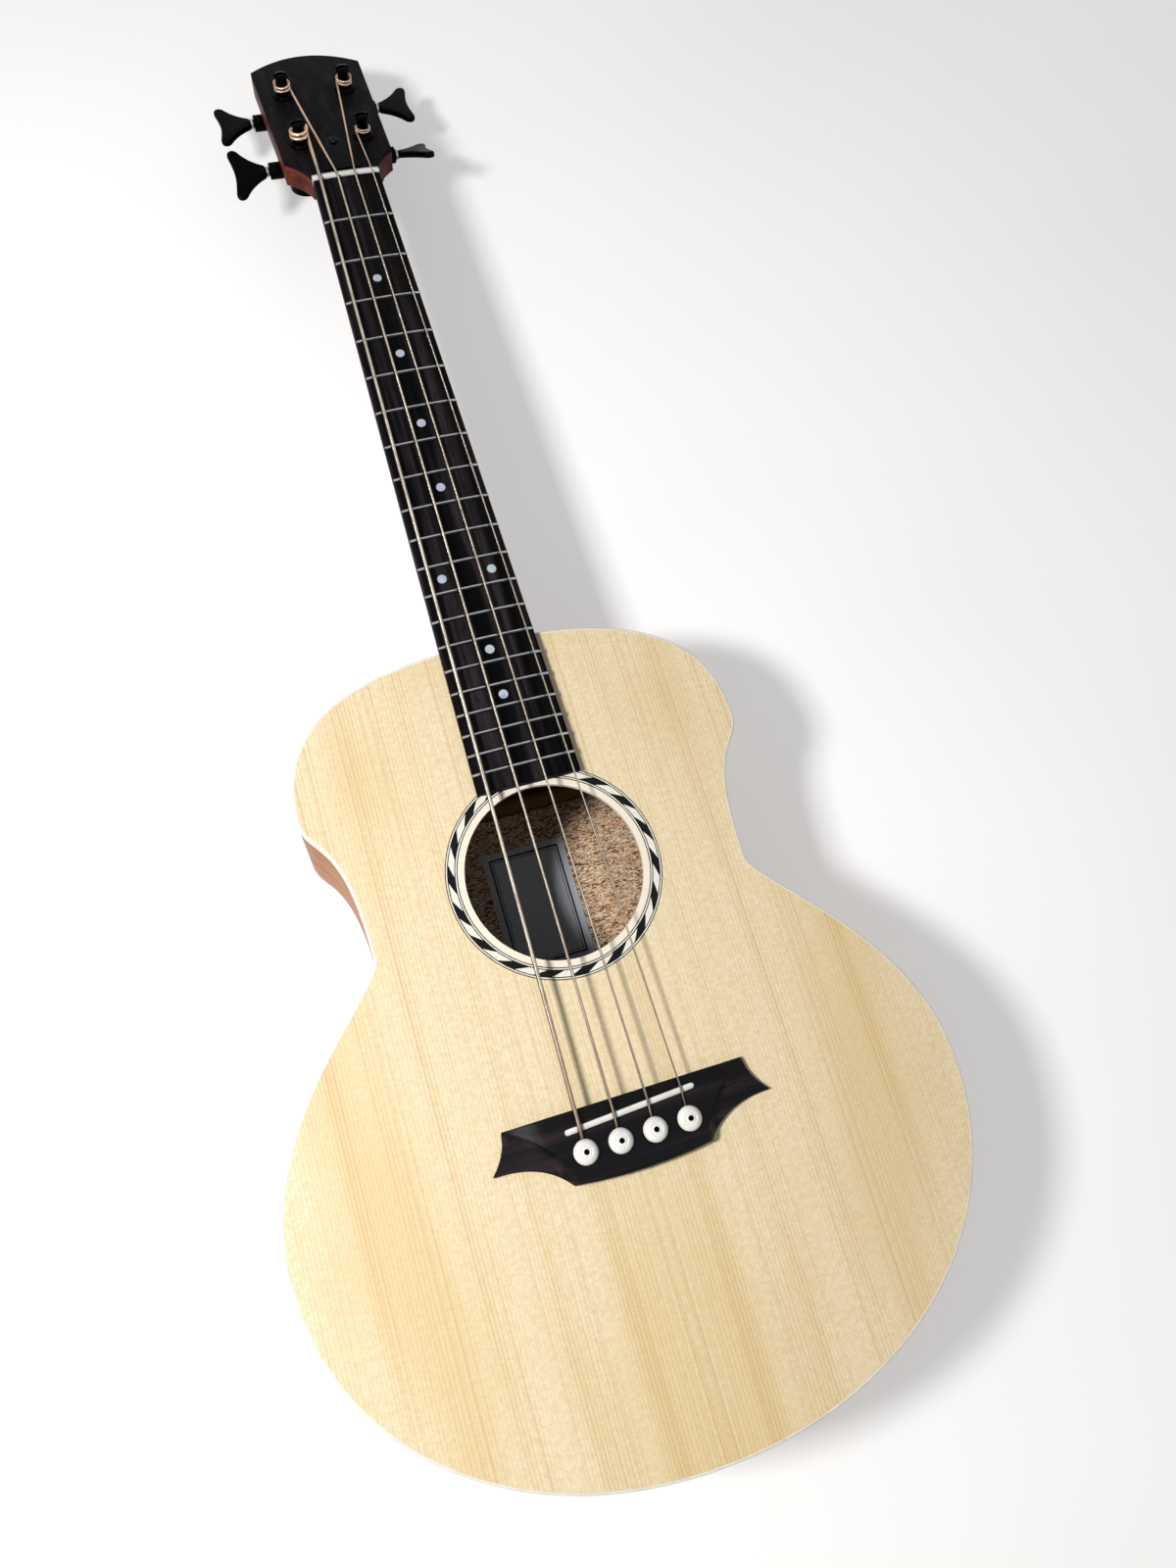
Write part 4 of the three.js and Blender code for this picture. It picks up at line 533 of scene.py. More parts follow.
def settle(piece):
    """Turns a piece's modifiers into its mesh."""
    bpy.context.view_layer.update()
    graph = bpy.context.evaluated_depsgraph_get()
    settled = bpy.data.meshes.new_from_object(piece.evaluated_get(graph))
    piece.modifiers.clear()
    piece.data = settled


def rounded(piece, width, segments=ROUND_SEGMENTS):
    """Rounds the sharp edges of a piece. The width is in millimetres."""
    bevel = piece.modifiers.new("round", "BEVEL")
    bevel.width = width * METRES
    bevel.segments = segments
    bevel.limit_method = "ANGLE"
    bevel.angle_limit = ROUND_EDGE_ANGLE
    settle(piece)
    return piece


def merge(piece, operation, helpers):
    """Adds helper objects to a piece, or cuts them from it, one after the other."""
    for helper in helpers:
        boolean = piece.modifiers.new("combine", "BOOLEAN")
        boolean.operation = operation
        boolean.solver = "EXACT"
        boolean.object = helper
    settle(piece)
    for helper in helpers:
        bpy.data.objects.remove(helper)


def add(piece, forms, place=LEVEL):
    merge(piece, "UNION", [new_object("helper", form, place) for form in forms])


def cut(piece, forms, place=LEVEL):
    merge(piece, "DIFFERENCE", [new_object("helper", form, place) for form in forms])


def dress(piece, material, body="body", replaces=(), crease=SMOOTH_ANGLE):
    """Gives a piece its material, its body and the CAD nodes that it stands for."""
    if material is not None:
        piece.data.materials.clear()
        piece.data.materials.append(material)
    piece.data.shade_smooth()
    piece.data.set_sharp_from_angle(angle=crease)
    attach(piece, body)
    if replaces:
        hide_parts(*replaces)


# Materials

WHITE = (1, 1, 1, 1)


def colour(code):
    """A linear colour from a hexadecimal sRGB code."""
    values = [int(code[i:i + 2], 16) / 255 for i in (0, 2, 4)]
    linear = [v / 12.92 if v <= 0.04045 else ((v + 0.055) / 1.055) ** 2.4 for v in values]
    return (*linear, 1)


class Nodes:
    """A node tree that calls build up."""

    def __init__(self, tree):
        self.tree = tree

    def feed(self, socket, value):
        """Links a node's output to a socket, or writes a value or a colour's code there."""
        if isinstance(value, bpy.types.NodeSocket):
            self.tree.links.new(value, socket)
        else:
            socket.default_value = colour(value) if isinstance(value, str) else value

    def add(self, kind, inputs, **settings):
        node = self.tree.nodes.new(kind)
        for name, value in settings.items():
            setattr(node, name, value)
        for name, value in inputs.items():
            self.feed(node.inputs[name], value)
        return node

    def maths(self, operation, first, second=0.0, third=0.0):
        return self.add("ShaderNodeMath", {0: first, 1: second, 2: third}, operation=operation).outputs[0]


class Finish(Nodes):
    """One material's node tree. Its patterns lie in the frame's metres."""

    def __init__(self, name, roughness, metallic=0, shine=0.5):
        self.material = bpy.data.materials.new(name)
        self.material.use_nodes = True
        super().__init__(self.material.node_tree)
        self.shader = self.tree.nodes["Principled BSDF"]
        self.set("Roughness", roughness)
        self.set("Metallic", metallic)
        self.set("Specular IOR Level", shine)
        self.place = self.add("ShaderNodeTexCoord", {}).outputs["Object"]

    def set(self, socket, value):
        self.feed(self.shader.inputs[socket], value)

    def roughen(self, pattern, spread, least):
        self.set("Roughness", self.maths("MULTIPLY_ADD", pattern, spread, least))

    def bump(self, height, depth, strength=0.5):
        """Relief from a height of 0 to 1. The depth is in millimetres."""
        inputs = {"Height": height, "Strength": strength, "Distance": depth * METRES}
        self.set("Normal", self.add("ShaderNodeBump", inputs).outputs[0])

    def split(self, vector):
        return self.add("ShaderNodeSeparateXYZ", {"Vector": vector}).outputs[:3]

    def noise(self, scale, detail=2.0, distortion=0.0, place=None):
        """Noise from 0 to 1, with as many features in a metre along each axis as the scale says."""
        place = self.place if place is None else place
        stretched = self.add("ShaderNodeMapping", {"Vector": place, "Scale": scale}).outputs[0]
        inputs = {"Vector": stretched, "Scale": 1.0, "Detail": detail, "Distortion": distortion}
        return self.add("ShaderNodeTexNoise", inputs).outputs["Fac"]

    def ramp(self, factor, stops):
        node = self.add("ShaderNodeValToRGB", {"Fac": factor})
        elements = node.color_ramp.elements
        while len(elements) < len(stops):
            elements.new(0.5)
        for element, (place, code) in zip(elements, stops):
            element.position = place
            element.color = colour(code)
        return node.outputs["Color"]

    def band(self, factor, low, high, amount=1):
        """0 below low, and the amount above high."""
        inputs = {"Value": factor, "From Min": low, "From Max": high, "To Max": amount}
        return self.add("ShaderNodeMapRange", inputs, interpolation_type="SMOOTHSTEP").outputs[0]

    def mix(self, share, first, second):
        return self.add("ShaderNodeMix", {0: share, 6: first, 7: second}, data_type="RGBA").outputs[2]

    def tint(self, base, code, pattern, low, high, amount=1):
        """The base, with an amount of a colour where the pattern rises from low to high."""
        return self.mix(self.band(pattern, low, high, amount), base, code)


def along(axes, across, length):
    """The scale of a pattern that is long on the named axes and narrow on the others."""
    return tuple(length if axis in axes else across for axis in "XYZ")


def growth_lines(finish, across, halves):
    """Thin lines along the grain that drift a little and fade in and out. Both halves have the same ones."""
    drift = finish.noise((18, 0.6, 1), 1, place=halves)
    turns = finish.maths("MULTIPLY", across, 2 * math.pi / (GROWTH_LINE_SPACING * METRES))
    wave = finish.maths("SINE", finish.maths("MULTIPLY_ADD", drift, GROWTH_LINE_DRIFT, turns))
    clarity = finish.band(finish.noise((60, 1.6, 1), 2, place=halves), 0.35, 0.75)
    strength = finish.maths("MULTIPLY_ADD", clarity, 0.3, 0.1)
    return finish.maths("MULTIPLY", finish.band(wave, -0.1, 1), strength)


def spruce():
    """Bookmatched spruce: thin growth lines, amber clouds and fine silk across the grain. A paler ring of
    wood lies between the rosette and the sound hole.
    """
    finish = Finish("spruce_satin", 0.45, shine=0.35)
    x, y = finish.split(finish.place)[:2]
    across = finish.maths("ABSOLUTE", x)
    halves = finish.add("ShaderNodeCombineXYZ", {"X": across, "Y": y}).outputs[0]
    lines = growth_lines(finish, across, halves)
    fine = finish.noise((500, 1.2, 1), 1, place=halves)
    cloud = finish.noise((12, 3.5, 1), 2, 0.4, halves)
    streak = finish.noise((60, 1.2, 1), 1, place=halves)
    mottle = finish.noise((330, 420, 1), 3, 0.8)
    silk = finish.noise((330, 1900, 1), 1, place=halves)
    wood_colour = finish.tint("fae9c6", "eedaad", mottle, 0.3, 0.7)
    wood_colour = finish.tint(wood_colour, "e7ca92", cloud, 0.42, 0.72, 0.6)
    wood_colour = finish.tint(wood_colour, "dcbc80", streak, 0.5, 0.75, 0.3)
    wood_colour = finish.mix(lines, wood_colour, "cfa464")
    wood_colour = finish.tint(wood_colour, "cfa464", fine, 0.5, 0.75, 0.35)
    wood_colour = finish.tint(wood_colour, "fdf4df", silk, 0.58, 0.8, 0.35)
    ends = {0: finish.place, 1: LEVEL @ Vector((0, HOLE_Y, 0))}
    distance = finish.add("ShaderNodeVectorMath", ends, operation="DISTANCE").outputs["Value"]
    edge = ROSETTE_INNER_RADIUS * METRES
    wood_colour = finish.tint(wood_colour, "fbf0dc", distance, edge + RING_BLEND, edge - RING_BLEND)
    finish.set("Base Color", wood_colour)
    finish.roughen(mottle, 0.2, 0.36)
    finish.bump(finish.maths("ADD", lines, mottle), 0.02, 0.3)
    return finish.material


def wood(name, light, middle, dark, roughness, pores, shine, axis="Y"):
    """A plain wood with streaks and short dark pores along its grain."""
    finish = Finish(name, roughness, shine=shine)
    streaks = finish.noise(along(axis, 140, 4), 3, 0.4)
    grain = finish.noise(along(axis, 420, 9), 2, 0.2)
    pore = finish.noise(along(axis, 1092, 110), 1)
    base = finish.ramp(streaks, [(0.34, dark), (0.5, middle), (0.66, light)])
    lined = finish.tint(base, dark, grain, 0.48, 0.7, 0.5)
    dots = finish.band(pore, 0.6, 0.72, pores)
    finish.set("Base Color", finish.mix(dots, lined, "0c0705"))
    finish.roughen(pore, 0.18, roughness - 0.09)
    finish.bump(finish.maths("SUBTRACT", 1.0, dots), 0.06, 0.4)
    return finish.material


def flecked_wood():
    """The bare inside of the back, tan with a crowd of short wavy flecks, light and dark."""
    finish = Finish("bare_flecked_wood", 0.75, shine=0.03)
    flecks = finish.noise((240, 720, 240), 1, 1.2)
    sparks = finish.noise((300, 900, 300), 1, 1.6)
    base = finish.mix(finish.noise((60, 30, 60), 2), "e3b387", "d29f74")
    dark = finish.tint(base, "7c4b2a", flecks, 0.53, 0.43)
    finish.set("Base Color", finish.tint(dark, "ffe9cc", sparks, 0.5, 0.58))
    finish.bump(flecks, 0.08, 0.4)
    return finish.material


def ivory(name, code, shade, roughness):
    """A pale plastic or bone with faint clouds and fine scratches."""
    finish = Finish(name, roughness, shine=0.4)
    cloud = finish.noise((130, 60, 130), 3, 0.5)
    scratch = finish.noise((2400, 180, 2400), 2)
    finish.set("Base Color", finish.tint(code, shade, cloud, 0.4, 0.75))
    finish.roughen(scratch, 0.16, roughness - 0.08)
    finish.bump(scratch, 0.01, 0.2)
    return finish.material


def gloss_black(name, roughness, shine):
    """A gloss black with fine dust and slightly wavy lacquer."""
    finish = Finish(name, roughness, shine=shine)
    dust = finish.noise((1800, 1800, 1800), 2)
    finish.set("Base Color", finish.tint("020203", "1e1e22", dust, 0.68, 0.84))
    finish.roughen(dust, 0.12, roughness - 0.06)
    finish.bump(finish.noise((160, 160, 160), 1), 0.03, 0.25)
    return finish.material


def metal(name, code, shade, roughness, axis="X"):
    """A bare metal with fine lines of polishing."""
    finish = Finish(name, roughness, 1)
    lines = finish.noise(along(axis, 5200, 260), 2)
    cloud = finish.noise((190, 190, 190), 2)
    finish.set("Base Color", finish.tint(code, shade, cloud, 0.35, 0.75))
    finish.roughen(lines, 0.2, roughness - 0.1)
    finish.bump(lines, 0.006, 0.3)
    return finish.material


def wound_wire(wrap):
    """Bronze wire wound round a core, with a ridge for each turn of the wrap, whose width is in millimetres.
    It is bright and coppery on the posts and pale over the neck, with faint tarnish in patches. Painted
    light:
    it darkens from the sound hole towards the bridge, a painted dark reflection, and it is darker on its
    flanks and in the grooves between turns, painted shade.
    """
    finish = Finish(f"wound_bronze_{round(100 * wrap)}", 0.36, 1)
    y = finish.split(finish.place)[1]
    turns = finish.maths("MULTIPLY", y, 2 * math.pi / (wrap * METRES))
    ridge = finish.maths("MULTIPLY_ADD", finish.maths("SINE", turns), 0.5, 0.5)
    tarnish = finish.noise((300, 90, 300), 3, 0.5)
    hole_y = (LEVEL @ Vector((0, HOLE_Y, 0))).y
    nut_y = (LEVEL @ Vector((0, NUT_FRONT_Y, 0))).y
    on_head = finish.band(y, nut_y, nut_y + HEAD_SHOULDER_Y * METRES)
    upward = finish.split(finish.add("ShaderNodeNewGeometry", {}).outputs["Normal"])[2]
    # Painted shade: faces that look sideways or down, on the string's flanks, are darker, but not on the head
    flank = finish.maths("MULTIPLY", finish.band(upward, 0.88, 0.6), finish.maths("SUBTRACT", 0.85, on_head))
    bronze = finish.tint("d6ccba", "b0a48f", tarnish, 0.35, 0.75)
    # Painted dark reflection: darker from the sound hole towards the bridge
    bronze = finish.tint(bronze, "8b7160", y, hole_y, BODY_TAIL_Y / 4 * METRES)
    bronze = finish.mix(on_head, bronze, "f3cfb4")
    bronze = finish.mix(flank, bronze, "35281f")
    # Painted shade: darker in the grooves between the turns of the wrap
    finish.set("Base Color", finish.tint(bronze, "2e241b", ridge, 0.6, 0.05, 0.45))
    finish.roughen(tarnish, 0.2, 0.26)
    finish.bump(ridge, 0.12, 0.6)
    return finish.material


def pearl():
    """Mother of pearl: pale, with soft patches of cool and warm colour."""
    finish = Finish("pearl", 0.2, shine=0.3)
    patches = finish.noise((420, 260, 420), 3, 1.5)
    finish.set("Base Color", finish.ramp(patches, [(0.3, "8fa3b8"), (0.5, "c9d3da"), (0.7, "b3aec4")]))
    finish.roughen(patches, 0.15, 0.12)
    return finish.material


def inlay(name, code, shade):
    """A thin strip of dyed wood in the ring round the sound hole."""
    finish = Finish(name, 0.4, shine=0.15)
    fibres = finish.noise((900, 900, 900), 2, 0.5)
    finish.set("Base Color", finish.tint(code, shade, fibres, 0.4, 0.8))
    finish.roughen(fibres, 0.16, 0.32)
    return finish.material


def label_paper():
    """Bare paper with a plain border of two printed lines."""
    finish = Finish("label_paper", 0.8, shine=0.02)
    low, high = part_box("label")
    far = []
    for place, start, end in zip(finish.split(finish.place)[:2], low, high):
        offset = finish.maths("ABSOLUTE", finish.maths("SUBTRACT", place, (start + end) / 2))
        far.append(finish.maths("SUBTRACT", (end - start) / 2, offset))
    edge = finish.maths("MINIMUM", *far)
    lines = [finish.maths("COMPARE", edge, inset * METRES, half * METRES) for inset, half in LABEL_LINES]
    fibres = finish.noise((700, 700, 700), 3, 0.4)
    paper = finish.tint("dfe2e8", "cfd3da", fibres, 0.35, 0.75)
    finish.set("Base Color", finish.mix(finish.maths("MAXIMUM", *lines), paper, "1d2433"))
    finish.bump(fibres, 0.03, 0.3)
    return finish.material


SPRUCE = spruce()
SIDE_WOOD = wood("side_wood", "cd8b4f", "b5733c", "935a2c", 0.36, pores=0.3, shine=0.12)
RIB_WOOD = wood("rib_wood", "cd8b4f", "b5733c", "935a2c", 0.36, pores=0.3, shine=0.12, axis="XY")
NECK_WOOD = wood("neck_wood", "6e3020", "562317", "3c160f", 0.38, pores=0.5, shine=0.12)
ROSEWOOD = wood("rosewood", "302a2c", "121012", "030303", 0.55, pores=0.7, shine=0.03)
HEAD_WOOD = wood("head_face_wood", "1d1719", "0d0b0e", "060507", 0.5, pores=0.6, shine=0.03)
BRIDGE_WOOD = wood("bridge_rosewood", "292025", "0e0c10", "050506", 0.42, pores=0.6, shine=0.1, axis="X")
# Bare wood inside the body, painted dark brown: painted shade in the hollow
SHADED_INNER_WOOD = wood("inner_wood", "402a1a", "2e1d11", "1f130b", 0.7, pores=0.4, shine=0.02)
BRACE_WOOD = wood("brace_spruce", "8a6c48", "75583a", "60462d", 0.65, pores=0.1, shine=0.02, axis="X")
FLECKED = flecked_wood()
BINDING = ivory("white_binding", "f5efe3", "e9e1d1", 0.3)
BONE = ivory("bone", "f5f3ee", "e6e3d9", 0.26)
BLACK_METAL = gloss_black("black_hardware", 0.1, 0.03)
BLACK_PLASTIC = gloss_black("black_plastic", 0.2, 0.02)
# Lit and shaded copies of one fret metal: painted highlight on the crowns, painted shade on the flanks
HIGHLIT_FRET_CROWN = metal("fret_crown_painted_highlight", "adb0b4", "96999d", 0.2)
SHADED_FRET_FLANK = metal("fret_flank_painted_shade", "353536", "272728", 0.34)
STEEL = metal("plated_steel", "a9adb8", "8d919b", 0.3, axis="Y")
DARK_STEEL = metal("dark_steel", "1d1d20", "121214", 0.3, axis="Y")
PEARL = pearl()
INLAY_BLACK = inlay("inlay_black", "020202", "080707")
INLAY_WHITE = inlay("inlay_white", "f8f3e6", "efe7d3")
INLAY_LINE = inlay("inlay_line", "050506", "0c0c0d")


# Body


def outline_curves():
    def station(half_width, share):
        return Vector((half_width, BODY_NECK_Y - share * BODY_LENGTH))

    stations = [
        station(0, 0),
        station(UPPER_BOUT / 2, BOUT_STATION_SHARES["upper"]),
        station(WAIST / 2, BOUT_STATION_SHARES["waist"]),
        station(LOWER_BOUT / 2, BOUT_STATION_SHARES["lower"]),
        station(0, 1),
    ]
    curves = []
    for i, (start_share, end_share) in enumerate(OUTLINE_HANDLE_SHARES):
        start, end = stations[i], stations[i + 1]
        start_handle = Vector((start.x, lerp(start.y, end.y, start_share)))
        end_handle = Vector((end.x, lerp(end.y, start.y, end_share)))
        if i == 0:
            start_handle = Vector((lerp(start.x, end.x, start_share), start.y))
        if i == len(OUTLINE_HANDLE_SHARES) - 1:
            end_handle = Vector((lerp(end.x, start.x, end_share), end.y))
        curves.append([start, start_handle, end_handle, end])
    return curves


def half_outline(inset):
    """The +x half from the neck end to the tail, moved in from the body's edge."""
    points = []
    for curve in outline_curves():
        chord = sum((b - a).length for a, b in zip(curve, curve[1:]))
        steps = round(chord / OUTLINE_STEP_LENGTH)
        slopes = [b - a for a, b in zip(curve, curve[1:])]
        for k in range(steps):
            tangent = bezier(slopes, k / steps).normalized()
            point = bezier(curve, k / steps)
            points.append(Vector((point.x + inset * tangent.y, point.y - inset * tangent.x)))
    points.append(Vector((0, BODY_TAIL_Y + inset)))
    points[0].x = 0
    for point in points:
        point.x = max(abs(point.x), 0)
    return points


def full_outline(inset):
    half = half_outline(inset)
    return half + mirrored(half[1:-1])


def rim(outline, section, ring):
    """A strip round the body. The section is a list of insets and the heights there, as functions of y."""
    edges = [[Vector((x, y, height(y))) for x, y in outline(inset)] for inset, height in section]
    return loft(list(zip(*edges)), ring)


def binding(name, face_at, direction, plate_thickness):
    """A binding with a rounded outer edge, on the top or the back. The plate lies in its rabbet."""
    def height(depth):
        return lambda y: face_at(y) + direction * depth

    angles = [math.pi / 2 * k / BINDING_ROUND_STEPS for k in range(BINDING_ROUND_STEPS + 1)]
    corners = [
        (0, BINDING_HEIGHT),
        *((BINDING_ROUND * (1 - math.cos(a)), BINDING_ROUND * (1 - math.sin(a))) for a in angles),
        (BINDING_FACE_WIDTH, 0),
        (BINDING_FACE_WIDTH, plate_thickness),
        (BINDING_WIDTH, plate_thickness),
        (BINDING_WIDTH, BINDING_HEIGHT),
    ]
    piece = new_object(name, rim(full_outline, [(inset, height(depth)) for inset, depth in corners], True))
    dress(piece, BINDING, replaces=[name.replace("_edge", "")])


def above_back(height):
    return lambda y: back_at(y) + height


def bent_sides():
    low, high = above_back(BINDING_HEIGHT), level_at(-BINDING_HEIGHT)
    strip = rim(half_outline, [(0, low), (0, high), (SIDE_THICKNESS, high), (SIDE_THICKNESS, low)], False)
    shank = button_place(round_bar(BUTTON_SHANK_RADIUS + GLUE_LINE, -BUTTON_REACH, OVERRUN))
    for name, sign in (("bass", -1), ("treble", 1)):
        piece = new_object(f"rib_{name}", strip, LEVEL @ Matrix.Scale(sign, 4, (1, 0, 0)))
        cut(piece, [shank])
        dress(piece, RIB_WOOD, replaces=[f"side_{name}"])
        # Its faces inside the body get the dark inner wood, painted shade
        line_inside(piece, SHADED_INNER_WOOD, looks_into_body)


def looks_into_body(face):
    """Whether the point just in front of an upright face lies within the outline of the body's hollow."""
    point = LEVEL.inverted() @ (face.center + face.normal * SIDE_THICKNESS * METRES)
    edge = half_outline(SIDE_THICKNESS)
    crossings = 0
    for start, end in zip(edge, edge[1:]):
        if (start.y > point.y) != (end.y > point.y):
            x = lerp(start.x, end.x, (point.y - start.y) / (end.y - start.y))
            crossings += abs(point.x) < x
    return crossings % 2 == 1 and abs(face.normal.z) < INSIDE_SLOPE


def line_inside(piece, material, is_inside):
    """Gives the faces that look into the body their own material."""
    piece.data.materials.append(material)
    for face in piece.data.polygons:
        if is_inside(face):
            face.material_index = 1


def back_plate():
    form = prism(full_outline(BINDING_FACE_WIDTH), back_at, above_back(BACK_THICKNESS))
    piece = new_object("back_panel", form)
    dress(piece, SIDE_WOOD, replaces=["back_plate"])
    line_inside(piece, FLECKED, lambda face: face.normal.z > INSIDE_SLOPE)


def pin_and_string_bores():
    bores = []
    for index, name in enumerate(STRINGS):
        bore = round_bar(PIN_RADIUS + RUNNING_FIT, -PIN_REACH, BRIDGE_THICKNESS + OVERRUN)
        bores.append(shifted(bore, saddle_x(index), PIN_Y))
        bores.append(string_form(name, index, RUNNING_FIT))
    return bores


def soundboard():
    piece = new_object("top_panel", slab(full_outline(BINDING_FACE_WIDTH), -SOUNDBOARD_THICKNESS, 0))
    hole = shifted(round_bar(HOLE_RADIUS, -OVERRUN, OVERRUN, HOLE_SIDES), 0, HOLE_Y)
    inner, outer = ROSETTE_INNER_RADIUS, ROSETTE_OUTER_RADIUS
    section = [(inner, -ROSETTE_DEPTH), (outer, -ROSETTE_DEPTH), (outer, OVERRUN), (inner, OVERRUN)]
    channel = shifted(turned(section, HOLE_SIDES), 0, HOLE_Y)
    cut(piece, [hole, channel, *pin_and_string_bores()])
    dress(piece, SPRUCE, replaces=["soundboard"])
    # The underside of the top gets the dark inner wood, painted shade
    line_inside(piece, SHADED_INNER_WOOD, lambda face: face.normal.z < -INSIDE_SLOPE)


def rosette_points():
    """Rows of points across the ring, one row for each step round it. The rope's part of a row is slanted."""
    border = [0, ROSETTE_LINE, ROSETTE_BORDER - ROSETTE_LINE, ROSETTE_BORDER]
    rope_inner = ROSETTE_INNER_RADIUS + ROSETTE_BORDER
    rope_outer = ROSETTE_OUTER_RADIUS - ROSETTE_BORDER
    radii = [ROSETTE_INNER_RADIUS + step for step in border]
    radii += [lerp(rope_inner, rope_outer, k / ROPE_LANES) for k in range(1, ROPE_LANES)]
    radii += [ROSETTE_OUTER_RADIUS - step for step in reversed(border)]
    rows = []
    for turn in circle_angles(ROPE_REPEATS * ROPE_STEPS):
        row = []
        for radius in radii:
            share = min(max((radius - rope_inner) / (rope_outer - rope_inner), 0), 1)
            angle = ROPE_START + turn + ROPE_SLANT * share
            row.append(LEVEL @ Vector((radius * math.cos(angle), radius * math.sin(angle) + HOLE_Y, 0)))
        rows.append(row)
    return rows


def lower(mesh, depth):
    """Gives a flat mesh a depth, in millimetres, below its own level."""
    sheet = bmesh.new()
    sheet.from_mesh(mesh)
    made = bmesh.ops.extrude_face_region(sheet, geom=sheet.faces[:])
    lowered = [item for item in made["geom"] if isinstance(item, bmesh.types.BMVert)]
    bmesh.ops.translate(sheet, verts=lowered, vec=LEVEL.to_3x3() @ Vector((0, 0, -depth)))
    bmesh.ops.recalc_face_normals(sheet, faces=sheet.faces)
    sheet.to_mesh(mesh)
    sheet.free()


def rosette():
    """A rope of slanted black and white pieces between two borders, each a pale lane between dark ones."""
    rows = rosette_points()
    count = len(rows[0])
    rope_start = (count - 1 - ROPE_LANES) // 2
    pale_lanes = (1, count - 3)
    faces = []
    looks = []
    for k in range(len(rows)):
        here = k * count
        following = (k + 1) % len(rows) * count
        for lane in range(count - 1):
            faces.append((here + lane, here + lane + 1, following + lane + 1, following + lane))
            if rope_start <= lane < rope_start + ROPE_LANES:
                looks.append(0 if k % ROPE_STEPS < ROPE_STEPS / 2 else 1)
            else:
                looks.append(1 if lane in pale_lanes else 2)
    mesh = bpy.data.meshes.new("rope_ring")
    mesh.from_pydata([point for row in rows for point in row], [], faces)
    for material in (INLAY_BLACK, INLAY_WHITE, INLAY_LINE):
        mesh.materials.append(material)
    for face, look in zip(mesh.polygons, looks):
        face.material_index = look
    lower(mesh, ROSETTE_DEPTH)
    dress(linked("rope_ring", mesh), None, replaces=["rosette"])


# Strings


def saddle_x(index):
    return (index - STRING_MIDDLE) * SADDLE_STRING_SPACING


def saddle_crown_y(x):
    return SADDLE_Y + SADDLE_PEAK_SHARE * SADDLE_THICKNESS / 2 + x * math.tan(SADDLE_SLANT)


def bend(before, corner, after, length):
    """Rounds a corner of a route with a short curve."""
    start = corner + (before - corner).normalized() * length
    end = corner + (after - corner).normalized() * length
    return [start, *bezier_run([start, corner, end], BEND_STEPS)]


def winding_route(string, nut_point):
    """The winding climbs the post from where the string first touches it."""
    side = string["side"]
    row_y = POST_ROWS[string["row"]]
    diameter = string["diameter"]
    radius = WINDING_RADIUS + 2 * RUNNING_FIT + diameter / 2
    start = HEAD_TURN.inverted() @ nut_point
    offset = Vector((start.x - side * POST_X, start.y - row_y))
    touch = math.atan2(offset.y, offset.x) - side * math.acos(radius / offset.length)
    low = BUSHING_TOP + 2 * RUNNING_FIT + diameter / 2
    pitch = diameter + WINDING_GAP
    coil = []
    for k in range(round(string["turns"] * WINDING_STEPS) + 1):
        turn = k / WINDING_STEPS
        angle = touch - side * 2 * math.pi * turn
        x = side * POST_X + radius * math.cos(angle)
        y = row_y + radius * math.sin(angle)
        coil.append(Vector((x, y, low + pitch * turn)))
    heading = (coil[-1] - coil[-2]).normalized()
    coil.append(coil[-1] + heading * diameter)
    return [HEAD_TURN @ point for point in coil]


def string_form(name, index, grow=0):
    """The string as a tube, from its anchor under the bridge to its winding."""
    string = STRINGS[name]
    radius = string["diameter"] / 2
    anchor_top = BRIDGE_PLATE_UNDERSIDE - RUNNING_FIT - GLUE_LINE + grow
    through_y = PIN_Y + PIN_RADIUS
    x = saddle_x(index)
    nut_x = (index - STRING_MIDDLE) * NUT_STRING_SPACING
    anchor = Vector((x, through_y, anchor_top - STRING_END_LENGTH - 2 * grow))
    neck_of_anchor = Vector((x, through_y, anchor_top))
    turn = Vector((x, through_y, BRIDGE_THICKNESS - radius))
    crown_z = SADDLE_HEIGHT - crown_drop(x) + radius + 2 * RUNNING_FIT
    crown = Vector((x, saddle_crown_y(x), crown_z))
    nut_point = Vector((nut_x, SCALE_LENGTH, NUT_STRING_HEIGHT - crown_drop(nut_x) + radius))
    winding = winding_route(string, nut_point)
    route = [
        anchor,
        neck_of_anchor,
        neck_of_anchor + Vector((0, 0, STRING_END_SHOULDER)),
        *bend(neck_of_anchor, turn, crown, PIN_BEND_LENGTH),
        *bend(turn, crown, nut_point, SADDLE_BEND_LENGTH),
        *bend(crown, nut_point, winding[0], NUT_BEND_LENGTH),
        *winding,
    ]
    radii = [(STRING_END_RADIUS if i < 2 else radius) + grow for i in range(len(route))]
    return tube(route, radii)


def strings():
    for index, (name, string) in enumerate(STRINGS.items()):
        piece = new_object(f"wound_string_{name}", string_form(name, index))
        wire = wound_wire(string["diameter"] * WRAP_SHARE)
        dress(piece, wire, replaces=[f"string_{name}"], crease=math.radians(60))


# Bridge, saddle and pins


def bulge_x(from_span, to_span, share):
    return lerp(from_span, to_span, share) / 2


def bridge_curve(name, start, bulge_y, end, from_span, to_span):
    """A curved edge of a wing. It bulges at a share of the way from one span to another."""
    middle = (bulge_x(from_span, to_span, BRIDGE_BULGE_SHARES[name]), bulge_y)
    return [Vector(start), Vector(middle), Vector(end)]


